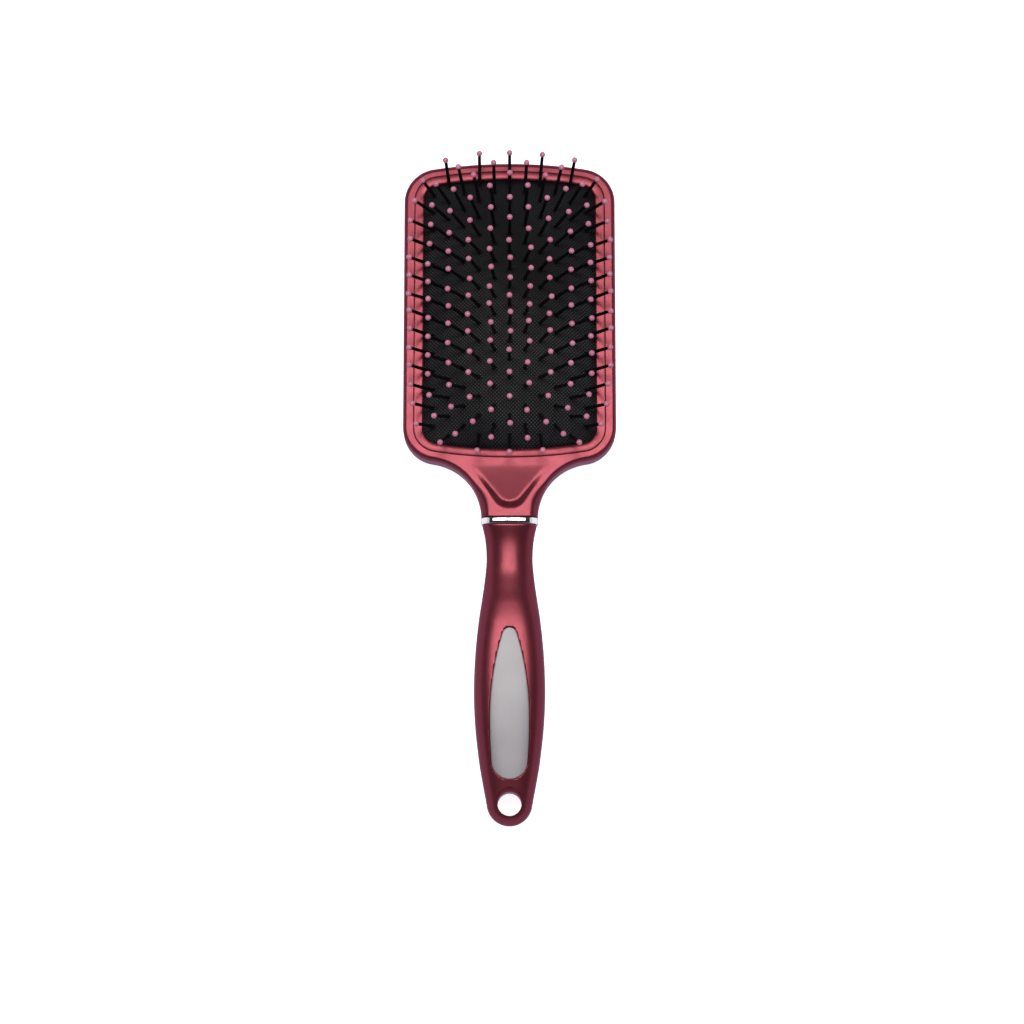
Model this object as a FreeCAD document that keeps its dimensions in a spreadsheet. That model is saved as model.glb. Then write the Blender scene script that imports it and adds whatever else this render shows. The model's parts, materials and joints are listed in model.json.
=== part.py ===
"""Paddle brush: a lacquered paddle with a sprung rubber cushion, ball-tipped pins and an inlaid handle.

Frame: the brush lies on its back.  +Z is up, out of the pins, +Y runs from the handle to the head,
and +X is to the right.  The origin is under the middle of the whole brush, on the surface it lies on.
"""
import FreeCAD, Part
import math
import os

import Sketcher

V = FreeCAD.Vector
DOC = FreeCAD.newDocument("PaddleBrush")
SHEET = DOC.addObject("Spreadsheet::Sheet", "Sizes")

# Every size that can be set by itself, in millimetres (angles in degrees).
SIZES = {
    # paddle
    "head_half_width": 39.75,
    "head_tip": 125.0,
    "head_arch_radius": 190.0,
    "head_corner_radius": 13.0,
    "head_shoulder": 9.8,
    "face_height": 13.0,
    "rim_top_round": 2.3,
    "rim_back_round": 5.0,
    "neck_half_width": 10.55,
    "neck_end": -10.8,
    "back_wall": 2.5,
    "facet_depth": 0.9,
    "facet_gap": 2.8,
    "facet_half_width": 15.5,
    "facet_end_gap": 5.6,
    "facet_margin": 5.95,
    # cushion opening and the frame around it
    "rim_width": 3.85,
    "rim_top_width": 3.3,
    "rim_foot_width": 1.3,
    "opening_corner_radius": 5.5,
    "opening_arch_radius": 180.0,
    "frame_width": 3.8,
    "frame_end_width": 3.4,
    "frame_edge_round": 0.8,
    "seam_gap": 0.12,
    # rubber membrane
    "membrane": 1.6,
    "membrane_drop": 1.6,
    "dome_rise": 9.95,
    "dome_gap": 0.3,
    "side_power": 2.2,
    "end_power": 4.4,
    "flange_width": 1.8,
    "flange_gap": 0.3,
    "ledge_gap": 0.2,
    "lip_gap": 0.45,
    "vent_radius": 0.65,
    "vent_row": -4.714,
    # pins
    "side_columns": 5,
    "pin_side_margin": 3.475,
    "pin_end_margin": 1.2,
    "long_column_pins": 15,
    "grid_offset": 1.0,
    "pin_reach": 14.9,
    "pin_splay": 1.26,
    "pin_root_radius": 0.68,
    "pin_end_radius": 0.52,
    "pin_hole_gap": 0.12,
    "foot_radius": 1.4,
    "foot_thickness": 0.8,
    "foot_gap": 0.25,
    "ball_radius": 1.05,
    # ring
    "ring_length": 2.9,
    "ring_step": 0.05,
    "ring_base": 0.35,
    "ring_round": 5.2,
    "ring_wall": 1.5,
    "ring_edge_round": 0.35,
    "ring_gap": 0.08,
    # tang that holds the handle
    "tang_side_gap": 1.34,
    "tang_front_gap": 0.95,
    "tang_round": 1.2,
    "tang_length": 58.0,
    # handle
    "handle_gap": 0.1,
    "handle_wall": 2.0,
    "mouth_side_step": 0.4,
    "mouth_step": 0.35,
    "handle_end_radius": 8.4,
    "handle_tail": -125.0,
    "handle_end_spread": 30.0,
    "cavity_end_gap": 12.75,
    "hang_hole_radius": 4.35,
    "hang_hole_offset": 0.5,
    # inlaid plate
    "plate_end_gap": 4.45,
    "plate_length": 55.5,
    "plate_half_width": 7.15,
    "plate_tip_radius": 2.6,
    "plate_end_radius": 6.5,
    "plate_widest": 33.0,
    "plate_thickness": 0.8,
    "plate_gap": 0.25,
    "glue_thickness": 0.2,
}

# Sections of the handle: how far along it from mouth to tail, half width, how far the front is
# over the paddle's face, and height of the back.
STATIONS = {
    "throat": (0.0486, 9.02, -1.15, 1.2),
    "waist": (0.1097, 8.54, -1.5, 1.6),
    "rise": (0.2113, 9.53, 0.0, 1.5),
    "swell": (0.3318, 11.54, 2.2, 0.8),
    "grip": (0.4335, 12.63, 2.9, 0.3),
    "belly": (0.5522, 13.13, 3.2, 0.0),
    "palm": (0.6718, 12.62, 2.8, 0.2),
    "taper": (0.7923, 11.13, 1.6, 0.8),
    "ankle": (0.8651, 9.75, 0.2, 1.4),
    "heel": (0.9326, 8.45, -1.1, 1.9),
    "overrun": (1.018, 7.9, -2.6, 2.4),
}
STATION_FIELDS = ("along", "half_width", "over_face", "back")


def fill_sheet():
    """Writes each size into the sheet as a plain number with its name as the alias."""
    rows = dict(SIZES)
    for station, values in STATIONS.items():
        for field, value in zip(STATION_FIELDS, values):
            rows[f"{station}_{field}"] = value
    for row, (alias, value) in enumerate(rows.items(), start=1):
        SHEET.set(f"A{row}", alias)
        SHEET.set(f"B{row}", str(value))
        SHEET.setAlias(f"B{row}", alias)
    DOC.recompute()


class Size:
    """A length worked out from the sheet: its value now, and the formula that keeps it up to date."""

    def __init__(self, formula, value):
        self.formula = formula
        self.value = value

    def __add__(self, other):
        other = as_size(other)
        return Size(f"({self.formula} + {other.formula})", self.value + other.value)

    def __sub__(self, other):
        other = as_size(other)
        return Size(f"({self.formula} - {other.formula})", self.value - other.value)

    def __mul__(self, other):
        other = as_size(other)
        return Size(f"({self.formula} * {other.formula})", self.value * other.value)

    def __neg__(self):
        return Size(f"(-1 * {self.formula})", -self.value)

    def __float__(self):
        return self.value


def as_size(number):
    """A plain number as a Size."""
    return number if isinstance(number, Size) else Size(str(number), float(number))


def size(alias):
    """The size held in one cell of the sheet."""
    return Size(f"Sizes.{alias}", float(SHEET.get(alias)))


def bind(thing, prop, length):
    """Ties a property to the sheet."""
    thing.setExpression(prop, as_size(length).formula)


def new_body(label):
    """An empty PartDesign body with its own label."""
    body = DOC.addObject("PartDesign::Body", label)
    body.Label = label
    return body


def new_sketch(body, role, height=0):
    """A sketch on one of the body's own origin planes, lifted along the plane's normal."""
    sketch = body.newObject("Sketcher::SketchObject", f"{body.Label}_sketch")
    plane = [f for f in body.Origin.OriginFeatures if f.Role == role][0]
    sketch.AttachmentSupport = [(plane, "")]
    sketch.MapMode = "FlatFace"
    bind(sketch, ".AttachmentOffset.Base.z", height)
    DOC.recompute()
    return sketch


def arc(centre, radius, start, end):
    """An arc from one direction to another, both in degrees, anticlockwise."""
    circle = Part.Circle(centre, V(0, 0, 1), radius)
    return Part.ArcOfCircle(circle, math.radians(start), math.radians(end))


def heading(start, end):
    """The direction in degrees from one point to another."""
    return math.degrees(math.atan2(end.y - start.y, end.x - start.x))


START, END, CENTRE = 1, 2, 3
Y_AXIS = -2


class Outline:
    """A closed run of lines and arcs in a sketch, whose dimensions are tied to the sheet."""

    def __init__(self, sketch, drawn, corners=(), hollow=()):
        """Adds the curves and joins each to the next.

        The join is tangent except after the curves in corners.  Those in hollow are arcs that the
        outline runs along backwards, because they curve the other way.
        """
        self.sketch = sketch
        self.first = sketch.GeometryCount
        sketch.addGeometry(drawn, False)
        for step in range(len(drawn)):
            after = (step + 1) % len(drawn)
            leave = START if step in hollow else END
            enter = END if after in hollow else START
            joint = "Coincident" if step in corners else "Tangent"
            self.tie(joint, self.first + step, leave, self.first + after, enter)

    def tie(self, kind, *where):
        """Adds a geometric constraint between curves given by their own numbers in the sketch."""
        self.sketch.addConstraint(Sketcher.Constraint(kind, *where))

    def dimension(self, kind, length, *where):
        """Adds a dimension tied to the sheet."""
        index = self.sketch.addConstraint(Sketcher.Constraint(kind, *where, float(length)))
        name = f"size{index}"
        self.sketch.renameConstraint(index, name)
        bind(self.sketch, f"Constraints.{name}", length)

    def radius(self, curve, length):
        """Sets the radius of an arc."""
        self.dimension("Radius", length, self.first + curve)

    def place(self, axis, curve, point, length):
        """Sets how far a point of a curve is from the origin along an axis, "X" or "Y"."""
        if float(length) >= 0:
            self.dimension(f"Distance{axis}", length, -1, 1, self.first + curve, point)
        else:
            self.dimension(f"Distance{axis}", -length, self.first + curve, point, -1, 1)


def arched_curves(wide, tall, bow, turn, middle):
    """The sides of a rounded rectangle with gently arched ends, as plain curves, anticlockwise."""
    arch_y = tall - bow
    corner_y = arch_y + math.sqrt((bow - turn) ** 2 - (wide - turn) ** 2)
    inner = wide - turn
    lean = heading(V(0, arch_y, 0), V(inner, corner_y, 0))
    return [
        Part.LineSegment(V(wide, middle - corner_y, 0), V(wide, middle + corner_y, 0)),
        arc(V(inner, middle + corner_y, 0), turn, 0, lean),
        arc(V(0, middle + arch_y, 0), bow, lean, 180 - lean),
        arc(V(-inner, middle + corner_y, 0), turn, 180 - lean, 180),
        Part.LineSegment(V(-wide, middle + corner_y, 0), V(-wide, middle - corner_y, 0)),
        arc(V(-inner, middle - corner_y, 0), turn, 180, 180 + lean),
        arc(V(0, middle - arch_y, 0), bow, 180 + lean, 360 - lean),
        arc(V(inner, middle - corner_y, 0), turn, 360 - lean, 360),
    ]


def draw_arched(sketch, half_width, half_length, arch, corner, middle):
    """Draws a rounded rectangle with gently arched ends, centred on (0, middle)."""
    sizes = [float(s) for s in (half_width, half_length, arch, corner, middle)]
    outline = Outline(sketch, arched_curves(*sizes))
    first = outline.first
    outline.tie("Vertical", first)
    outline.tie("Vertical", first + 4)
    for other in (3, 5, 7):
        outline.tie("Equal", first + 1, first + other)
    outline.tie("Equal", first + 2, first + 6)
    outline.tie("PointOnObject", first + 2, CENTRE, Y_AXIS)
    outline.tie("PointOnObject", first + 6, CENTRE, Y_AXIS)
    outline.radius(1, corner)
    outline.radius(2, arch)
    outline.place("X", 0, START, half_width)
    outline.place("X", 4, START, -half_width)
    outline.place("Y", 2, CENTRE, middle + half_length - arch)
    outline.place("Y", 6, CENTRE, middle - half_length + arch)


def draw_paddle(sketch):
    """Draws the paddle seen from the front: arched head, round shoulders and a flared neck."""
    side, corner = size("head_half_width"), size("head_corner_radius")
    arch, tip = size("head_arch_radius"), size("head_tip")
    neck, neck_end = size("neck_half_width"), size("neck_end")
    low = size("head_shoulder") + corner
    turn, bow = float(corner), float(arch)
    inner = float(side) - turn
    arch_centre = V(0, float(tip) - bow, 0)
    high = arch_centre.y + math.sqrt((bow - turn) ** 2 - inner ** 2)
    lean = heading(arch_centre, V(inner, high, 0))
    # The flare is square to the neck's end and touches the shoulder's arc from outside.
    over, drop = float(neck) - inner, float(low) - float(neck_end)
    flare = (over ** 2 + drop ** 2 - turn ** 2) / (2 * (turn - over))
    flare_x, end_y, low_y = float(neck) + flare, float(neck_end), float(low)
    meet = heading(V(-flare_x, end_y, 0), V(-inner, low_y, 0))
    outline = Outline(sketch, [
        Part.LineSegment(V(float(side), low_y, 0), V(float(side), high, 0)),
        arc(V(inner, high, 0), turn, 0, lean),
        arc(arch_centre, bow, lean, 180 - lean),
        arc(V(-inner, high, 0), turn, 180 - lean, 180),
        Part.LineSegment(V(-float(side), high, 0), V(-float(side), low_y, 0)),
        arc(V(-inner, low_y, 0), turn, 180, 180 + meet),
        arc(V(-flare_x, end_y, 0), flare, 0, meet),
        Part.LineSegment(V(-float(neck), end_y, 0), V(float(neck), end_y, 0)),
        arc(V(flare_x, end_y, 0), flare, 180 - meet, 180),
        arc(V(inner, low_y, 0), turn, 360 - meet, 360),
    ], corners=(6, 7), hollow=(6, 8))
    first = outline.first
    outline.tie("Vertical", first)
    outline.tie("Vertical", first + 4)
    outline.tie("Horizontal", first + 7)
    for other in (3, 5, 9):
        outline.tie("Equal", first + 1, first + other)
    outline.tie("PointOnObject", first + 2, CENTRE, Y_AXIS)
    outline.radius(1, corner)
    outline.radius(2, arch)
    outline.place("Y", 2, CENTRE, tip - arch)
    outline.place("X", 0, START, side)
    outline.place("X", 4, START, -side)
    outline.place("Y", 5, CENTRE, low)
    outline.place("Y", 9, CENTRE, low)
    outline.place("Y", 6, CENTRE, neck_end)
    outline.place("Y", 8, CENTRE, neck_end)
    outline.place("X", 7, START, -neck)
    outline.place("X", 7, END, neck)
    outline.place("Y", 7, START, neck_end)


def draw_rounded(sketch, half_width, low, high, corner):
    """Draws a rounded rectangle, centred left and right, between two heights."""
    wide, base, top, turn = (float(s) for s in (half_width, low, high, corner))
    inner, under, over = wide - turn, base + turn, top - turn
    outline = Outline(sketch, [
        Part.LineSegment(V(wide, under, 0), V(wide, over, 0)),
        arc(V(inner, over, 0), turn, 0, 90),
        Part.LineSegment(V(inner, top, 0), V(-inner, top, 0)),
        arc(V(-inner, over, 0), turn, 90, 180),
        Part.LineSegment(V(-wide, over, 0), V(-wide, under, 0)),
        arc(V(-inner, under, 0), turn, 180, 270),
        Part.LineSegment(V(-inner, base, 0), V(inner, base, 0)),
        arc(V(inner, under, 0), turn, 270, 360),
    ])
    first = outline.first
    outline.tie("Vertical", first)
    outline.tie("Vertical", first + 4)
    outline.tie("Horizontal", first + 2)
    outline.tie("Horizontal", first + 6)
    for other in (3, 5, 7):
        outline.tie("Equal", first + 1, first + other)
    outline.radius(1, corner)
    outline.place("X", 0, START, half_width)
    outline.place("X", 4, START, -half_width)
    outline.place("Y", 6, START, low)
    outline.place("Y", 2, START, high)


def draw_teardrop(sketch, grow):
    """Draws the inlaid plate's outline, or that of its recess when it is grown by a gap."""
    foot = hang_hole_edge() + size("plate_end_gap")
    tip = foot + size("plate_length") + grow
    end = foot - grow
    side = size("plate_half_width") + grow
    tip_radius = size("plate_tip_radius") + grow
    end_radius = size("plate_end_radius") + grow
    widest = foot + size("plate_length") - size("plate_widest")
    wide, at = float(side), float(widest)
    tip_centre = V(0, float(tip - tip_radius), 0)
    end_centre = V(0, float(end + end_radius), 0)

    def side_radius(round_end, round_radius):
        """The radius that is upright at the widest place and runs smoothly into a round end."""
        run = round_end.y - at
        return (wide ** 2 + run ** 2 - round_radius ** 2) / (2 * (wide - round_radius))

    upper = side_radius(tip_centre, float(tip_radius))
    lower = side_radius(end_centre, float(end_radius))
    rise = heading(V(wide - upper, at, 0), tip_centre)
    fall = -heading(V(wide - lower, at, 0), end_centre)
    outline = Outline(sketch, [
        arc(tip_centre, float(tip_radius), rise, 180 - rise),
        arc(V(upper - wide, at, 0), upper, 180 - rise, 180),
        arc(V(lower - wide, at, 0), lower, 180, 180 + fall),
        arc(end_centre, float(end_radius), 180 + fall, 360 - fall),
        arc(V(wide - lower, at, 0), lower, 360 - fall, 360),
        arc(V(wide - upper, at, 0), upper, 0, rise),
    ])
    first = outline.first
    outline.tie("PointOnObject", first, CENTRE, Y_AXIS)
    outline.tie("PointOnObject", first + 3, CENTRE, Y_AXIS)
    outline.radius(0, tip_radius)
    outline.radius(3, end_radius)
    outline.place("Y", 0, CENTRE, tip - tip_radius)
    outline.place("Y", 3, CENTRE, end + end_radius)
    for curve, edge in ((2, -side), (5, side)):
        outline.place("X", curve, START, edge)
        outline.place("Y", curve, START, widest)
        outline.place("Y", curve, CENTRE, widest)


def draw_facet(sketch):
    """Draws the sunk facet on the front of the neck, which narrows towards the handle."""
    top = size("head_shoulder") + size("rim_foot_width") - size("facet_gap")
    wide, narrow = size("facet_half_width"), size("neck_half_width") - size("facet_margin")
    end = size("neck_end") + size("facet_end_gap")
    corners = [(wide, top), (-wide, top), (-narrow, end), (narrow, end)]
    points = [V(float(x), float(y), 0) for x, y in corners]
    lines = [Part.LineSegment(a, b) for a, b in zip(points, points[1:] + points[:1])]
    outline = Outline(sketch, lines, corners=range(len(lines)))
    for line, (x, y) in enumerate(corners):
        outline.place("X", line, START, x)
        outline.place("Y", line, START, y)


def add_pad(body, sketch, length):
    """Extrudes a sketch along its normal."""
    pad = body.newObject("PartDesign::Pad", f"{body.Label}_pad")
    pad.Profile = sketch
    bind(pad, "Length", length)
    DOC.recompute()
    return pad


def add_pocket(body, sketch, depth, upwards=False):
    """Cuts a sketch into the body, against its normal unless upwards is set."""
    pocket = body.newObject("PartDesign::Pocket", f"{body.Label}_pocket")
    pocket.Profile = sketch
    pocket.Reversed = upwards
    bind(pocket, "Length", depth)
    DOC.recompute()
    return pocket


def add_fillet(body, edges, radius):
    """Rounds the edges that a test picks out of the body's shape so far."""
    base = body.Tip
    names = [f"Edge{n}" for n, edge in enumerate(base.Shape.Edges, start=1) if edges(edge.BoundBox)]
    fillet = body.newObject("PartDesign::Fillet", f"{body.Label}_fillet")
    fillet.Base = (base, names)
    bind(fillet, "Radius", radius)
    DOC.recompute()
    return fillet


NEAR = 0.001


def level(box, height):
    """Whether an edge's box lies flat at a height."""
    return abs(box.ZMin - height) < NEAR and abs(box.ZMax - height) < NEAR


def ledge_height():
    """The height of the step in the paddle that the membrane and its frame stand on."""
    stack = size("membrane_drop") + size("membrane") + size("ledge_gap")
    return size("face_height") - stack


def seat_ends():
    """How far along Y the seat of the cushion's frame reaches, towards the handle and the tip."""
    return size("head_shoulder") + size("rim_foot_width"), size("head_tip") - size("rim_top_width")


def pad_centre():
    """Where the middle of the cushion opening is along Y."""
    low, high = seat_ends()
    return (low + high) * 0.5


def opening(grow_side=0, grow_end=0):
    """The cushion opening's outline, or one grown outwards from it, as draw_arched takes it."""
    low, high = seat_ends()
    return (
        size("head_half_width") - size("rim_width") - size("frame_width") + grow_side,
        (high - low) * 0.5 - size("frame_end_width") + grow_end,
        size("opening_arch_radius") + grow_end,
        size("opening_corner_radius") + grow_side,
        pad_centre(),
    )


def ring_section(inset=0):
    """Half width, low face, high face and corner radius of the ring, or of a section inside it."""
    return (
        size("neck_half_width") - size("ring_step") - inset,
        size("ring_base") + inset,
        size("face_height") - size("ring_step") - inset,
        size("ring_round") - inset,
    )


def tang_section():
    """Half width, low face, high face and corner radius of the tang, inside the handle's waist."""
    wall = size("handle_wall")
    side, face = wall + size("tang_side_gap"), wall + size("tang_front_gap")
    return (
        size("waist_half_width") - side,
        size("waist_back") + face,
        size("face_height") + size("waist_over_face") - face,
        size("tang_round"),
    )


def make_head_shell():
    """The lacquered paddle: back, rim, neck, the boss under the ring and the tang in the handle."""
    body = new_body("head_shell")
    sketch = new_sketch(body, "XY_Plane")
    draw_paddle(sketch)
    add_pad(body, sketch, size("face_height"))
    face, neck_end = float(size("face_height")), float(size("neck_end"))
    add_fillet(body, lambda box: level(box, face) and box.YMax > neck_end + NEAR, size("rim_top_round"))
    add_fillet(body, lambda box: level(box, 0) and box.YMax > neck_end + NEAR, size("rim_back_round"))
    seat = new_sketch(body, "XY_Plane", size("face_height"))
    draw_arched(seat, *opening(size("frame_width"), size("frame_end_width")))
    add_pocket(body, seat, size("face_height") - ledge_height())
    chamber = new_sketch(body, "XY_Plane", ledge_height())
    draw_arched(chamber, *opening())
    add_pocket(body, chamber, ledge_height() - size("back_wall"))
    facet = new_sketch(body, "XY_Plane", size("face_height"))
    draw_facet(facet)
    add_pocket(body, facet, size("facet_depth"))
    boss = new_sketch(body, "XZ_Plane", -size("neck_end"))
    draw_rounded(boss, *ring_section(size("ring_wall") + size("ring_gap")))
    add_pad(body, boss, size("ring_length"))
    tang = new_sketch(body, "XZ_Plane", size("ring_length") - size("neck_end"))
    draw_rounded(tang, *tang_section())
    add_pad(body, tang, size("tang_length"))
    return body


def make_cushion_frame():
    """The frame that snaps into the paddle's face and holds the membrane's flange down."""
    body = new_body("cushion_frame")
    sketch = new_sketch(body, "XY_Plane", ledge_height())
    side, end, gap = size("frame_width"), size("frame_end_width"), size("seam_gap")
    draw_arched(sketch, *opening(side - gap, end - gap))
    draw_arched(sketch, *opening())
    add_pad(body, sketch, size("face_height") - ledge_height())
    recess = new_sketch(body, "XY_Plane", ledge_height())
    reach = size("flange_width") + size("flange_gap")
    draw_arched(recess, *opening(reach, reach))
    lip = size("face_height") - size("membrane_drop") + size("lip_gap")
    add_pocket(body, recess, lip - ledge_height(), upwards=True)
    face = float(size("face_height"))
    add_fillet(body, lambda box: level(box, face) and on_opening(box), size("frame_edge_round"))
    return body


def on_opening(box):
    """Whether an edge belongs to the opening's own outline and not to one around it."""
    wide, tall, _, _, middle = (float(s) for s in opening())
    farthest = max(abs(box.XMin), abs(box.XMax))
    highest = max(abs(box.YMax - middle), abs(box.YMin - middle))
    return farthest < wide + NEAR and highest < tall + NEAR


def dome_height(x, y):
    """Height of the cushion's outer face above its flange, at a place measured from its centre."""
    wide, tall = dome_reach()
    across = 1 - min(abs(x) / wide, 1) ** float(size("side_power"))
    along = 1 - min(abs(y) / tall, 1) ** float(size("end_power"))
    return float(size("dome_rise")) * across * along


def dome_reach():
    """Half width and half length of the domed part of the membrane."""
    wide, tall, *_ = opening(-size("dome_gap"), -size("dome_gap"))
    return float(wide), float(tall)


def flange_height():
    """Height of the membrane's flange, on its outer face."""
    return float(size("face_height") - size("membrane_drop"))


def spread(reach, count):
    """Evenly spaced places from minus reach to plus reach."""
    return [reach * (2 * step / (count - 1) - 1) for step in range(count)]


DOME_COLUMNS, DOME_ROWS = 31, 41


def make_dome():
    """The solid between the cushion's domed outer face and the plane of its flange."""
    wide, tall = dome_reach()
    middle, base = float(pad_centre()), flange_height()
    grid = [
        [V(x, middle + y, base + dome_height(x, y)) for y in spread(tall, DOME_ROWS)]
        for x in spread(wide, DOME_COLUMNS)
    ]
    surface = Part.BSplineSurface()
    surface.interpolate(grid)
    crown = surface.toShape()
    floor = Part.Face(Part.Wire(Part.__sortEdges__(crown.Edges)))
    return Part.Solid(Part.Shell([crown, floor]))


def pin_pitches():
    """How far apart the pin columns are, and the pins in a column.

    The outermost of the long columns sets the rows, because the arched ends come nearest to it.
    """
    wide, tall, bow, *_ = (float(s) for s in opening(-size("dome_gap"), -size("dome_gap")))
    side = float(size("side_columns"))
    across = (wide - float(size("pin_side_margin"))) / side
    outermost = (side - side % 2) * across
    reach = tall - (bow - math.sqrt(bow ** 2 - outermost ** 2)) - float(size("pin_end_margin"))
    along = 2 * (reach - float(size("grid_offset"))) / (float(size("long_column_pins")) - 1)
    return across, along


def pin_columns():
    """The columns of the pin grid, each as the roots of its pins measured from the pad's middle."""
    side = int(float(size("side_columns")))
    longest = int(float(size("long_column_pins")))
    pitch, row_pitch = pin_pitches()
    offset = float(size("grid_offset"))
    columns = []
    for number in range(-side, side + 1):
        count = longest - number % 2
        rows = [offset + row_pitch * (step - (count - 1) / 2) for step in range(count)]
        columns.append([(number * pitch, y) for y in rows])
    return columns


def pin_frame(x, y):
    """A pin's placement: its root on the dome, and its own Z axis out along the pin."""
    step = 0.01
    slope_x = (dome_height(x + step, y) - dome_height(x - step, y)) / (2 * step)
    slope_y = (dome_height(x, y + step) - dome_height(x, y - step)) / (2 * step)
    splay = float(size("pin_splay"))
    out = V(-splay * slope_x, -splay * slope_y, 1)
    root = V(x, float(pad_centre()) + y, flange_height() + dome_height(x, y))
    return FreeCAD.Placement(root, FreeCAD.Rotation(V(0, 0, 1), out))


def make_pin():
    """One pin along Z from its root at the origin: a tapered shaft with a foot under the membrane."""
    top = float(size("membrane") + size("foot_gap"))
    bottom = top + float(size("foot_thickness"))
    foot, root = float(size("foot_radius")), float(size("pin_root_radius"))
    end, reach = float(size("pin_end_radius")), float(size("pin_reach"))
    below = [(0, -bottom), (foot, -bottom), (foot, -top), (root, -top)]
    shaft = [(root, 0), (end, reach), (0, reach)]
    points = [V(radius, 0, height) for radius, height in below + shaft]
    face = Part.Face(Part.makePolygon(points + points[:1]))
    return face.revolve(V(0, 0, 0), V(0, 0, 1), 360)


def make_ball(pin):
    """The round tip on a pin, hollow where the pin's end sits in it."""
    ball = Part.makeSphere(float(size("ball_radius")), V(0, 0, float(size("pin_reach"))))
    return ball.cut(pin)


def placed(shape, placement):
    """A copy of a shape moved to a placement."""
    return shape.transformed(placement.toMatrix(), True)


def add_feature(label, shape):
    """A document object that holds a shape made here."""
    feature = DOC.addObject("Part::Feature", label)
    feature.Label = label
    feature.Shape = shape
    return feature


def make_pins():
    """The pins and their tips, one node of each for every column of the grid."""
    pin = make_pin()
    ball = make_ball(pin)
    nodes = []
    for number, column in enumerate(pin_columns(), start=1):
        frames = [pin_frame(x, y) for x, y in column]
        pins = Part.makeCompound([placed(pin, frame) for frame in frames])
        tips = Part.makeCompound([placed(ball, frame) for frame in frames])
        nodes.append(add_feature(f"pin_column_{number:02d}", pins))
        nodes.append(add_feature(f"tip_column_{number:02d}", tips))
    return nodes


def arched_block(grow, height):
    """A block on the flange's plane with the opening's outline moved outwards by an amount."""
    sizes = [float(s) for s in opening(grow, grow)]
    wire = Part.Wire([curve.toShape() for curve in arched_curves(*sizes)])
    return Part.Face(wire).extrude(V(0, 0, height)).translated(V(0, 0, flange_height()))


def make_cushion_pad():
    """The rubber membrane: a domed skin with a flange, a hole for each pin and a vent hole."""
    dome, skin = make_dome(), float(size("membrane"))
    flange = arched_block(size("flange_width"), -skin)
    crown = dome.common(arched_block(-size("dome_gap"), 2 * float(size("dome_rise"))))
    inside = dome.translated(V(0, 0, -skin))
    shape = crown.fuse(flange).cut(inside)
    radius = float(size("pin_root_radius") + size("pin_hole_gap"))
    drill = Part.makeCylinder(radius, 4 * skin, V(0, 0, -2 * skin))
    holes = [placed(drill, pin_frame(x, y)) for column in pin_columns() for x, y in column]
    vent_y = float(size("grid_offset")) + float(size("vent_row")) * pin_pitches()[1]
    vent = Part.makeCylinder(float(size("vent_radius")), 4 * skin, V(0, 0, -2 * skin))
    holes.append(placed(vent, pin_frame(0, vent_y)))
    return add_feature("cushion_pad", shape.cut(holes))


def make_collar_ring():
    """The chromed band between the neck and the handle."""
    body = new_body("collar_ring")
    sketch = new_sketch(body, "XZ_Plane", -size("neck_end"))
    inner = ring_section(size("ring_wall"))
    draw_rounded(sketch, *ring_section())
    draw_rounded(sketch, *inner)
    add_pad(body, sketch, size("ring_length"))
    wide, low, high, _ = (float(s) for s in inner)

    def outside(box):
        sideways = max(abs(box.XMin), abs(box.XMax)) > wide + NEAR
        upright = box.ZMax > high + NEAR or box.ZMin < low - NEAR
        return (sideways or upright) and box.YLength < NEAR

    add_fillet(body, outside, size("ring_edge_round"))
    return body


def handle_sections(inset, last=None):
    """The handle's sections as (label, place, half width, front, back), moved in by an inset.

    They stop at the place called last, if one is given.
    """
    mouth = size("neck_end") - size("ring_length") - size("handle_gap")
    ring_wide, ring_low, ring_high, _ = ring_section()
    step = size("mouth_step")
    sections = [("mouth", mouth, ring_wide - size("mouth_side_step"), ring_high - step, ring_low + step)]
    for station in STATIONS:
        along, half_width, over_face, back = (size(f"{station}_{field}") for field in STATION_FIELDS)
        at = mouth + (size("handle_tail") - mouth) * along
        sections.append((station, at, half_width, size("face_height") + over_face, back))
    if last is not None:
        sections = [s for s in sections if float(s[1]) > float(last) + NEAR]
        label, _, wide, front, back = sections[-1]
        sections.append(("closed", last, wide - 1, front - 1, back + 1))
    return [(label, at, w - inset, f - inset, b + inset) for label, at, w, f, b in sections]


def make_loft(label, inset, last=None):
    """A smooth solid through the handle's sections."""
    ellipses = []
    for station, at, half_width, front, back in handle_sections(inset, last):
        ellipse = DOC.addObject("Part::Ellipse", f"{label}_{station}")
        ellipse.Placement = FreeCAD.Placement(V(0, 0, 0), FreeCAD.Rotation(V(1, 0, 0), 90))
        bind(ellipse, "MajorRadius", half_width)
        bind(ellipse, "MinorRadius", (front - back) * 0.5)
        bind(ellipse, "Placement.Base.y", at)
        bind(ellipse, "Placement.Base.z", (front + back) * 0.5)
        ellipses.append(ellipse)
    loft = DOC.addObject("Part::Loft", label)
    loft.Sections = ellipses
    loft.Solid = True
    loft.Ruled = False
    DOC.recompute()
    return loft


def combine(kind, label, base, tool):
    """A boolean of two objects: Cut, Common or Fuse."""
    result = DOC.addObject(f"Part::{kind}", label)
    result.Base = base
    result.Tool = tool
    DOC.recompute()
    return result


def clear_height():
    """A height well over the handle's front."""
    return size("face_height") + size("belly_over_face")


def hang_hole_centre():
    """Where the hanging hole is along Y."""
    return size("handle_tail") + size("handle_end_radius") - size("hang_hole_offset")


def hang_hole_edge():
    """Where the hanging hole begins along Y, on the side towards the head."""
    return hang_hole_centre() + size("hang_hole_radius")


def make_prism(label, grow):
    """An upright prism of the plate's outline, tall enough to pass out of the handle's front."""
    body = new_body(label)
    sketch = new_sketch(body, "XY_Plane", clear_height() * 0.5)
    draw_teardrop(sketch, grow)
    add_pad(body, sketch, clear_height())
    return body


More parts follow.
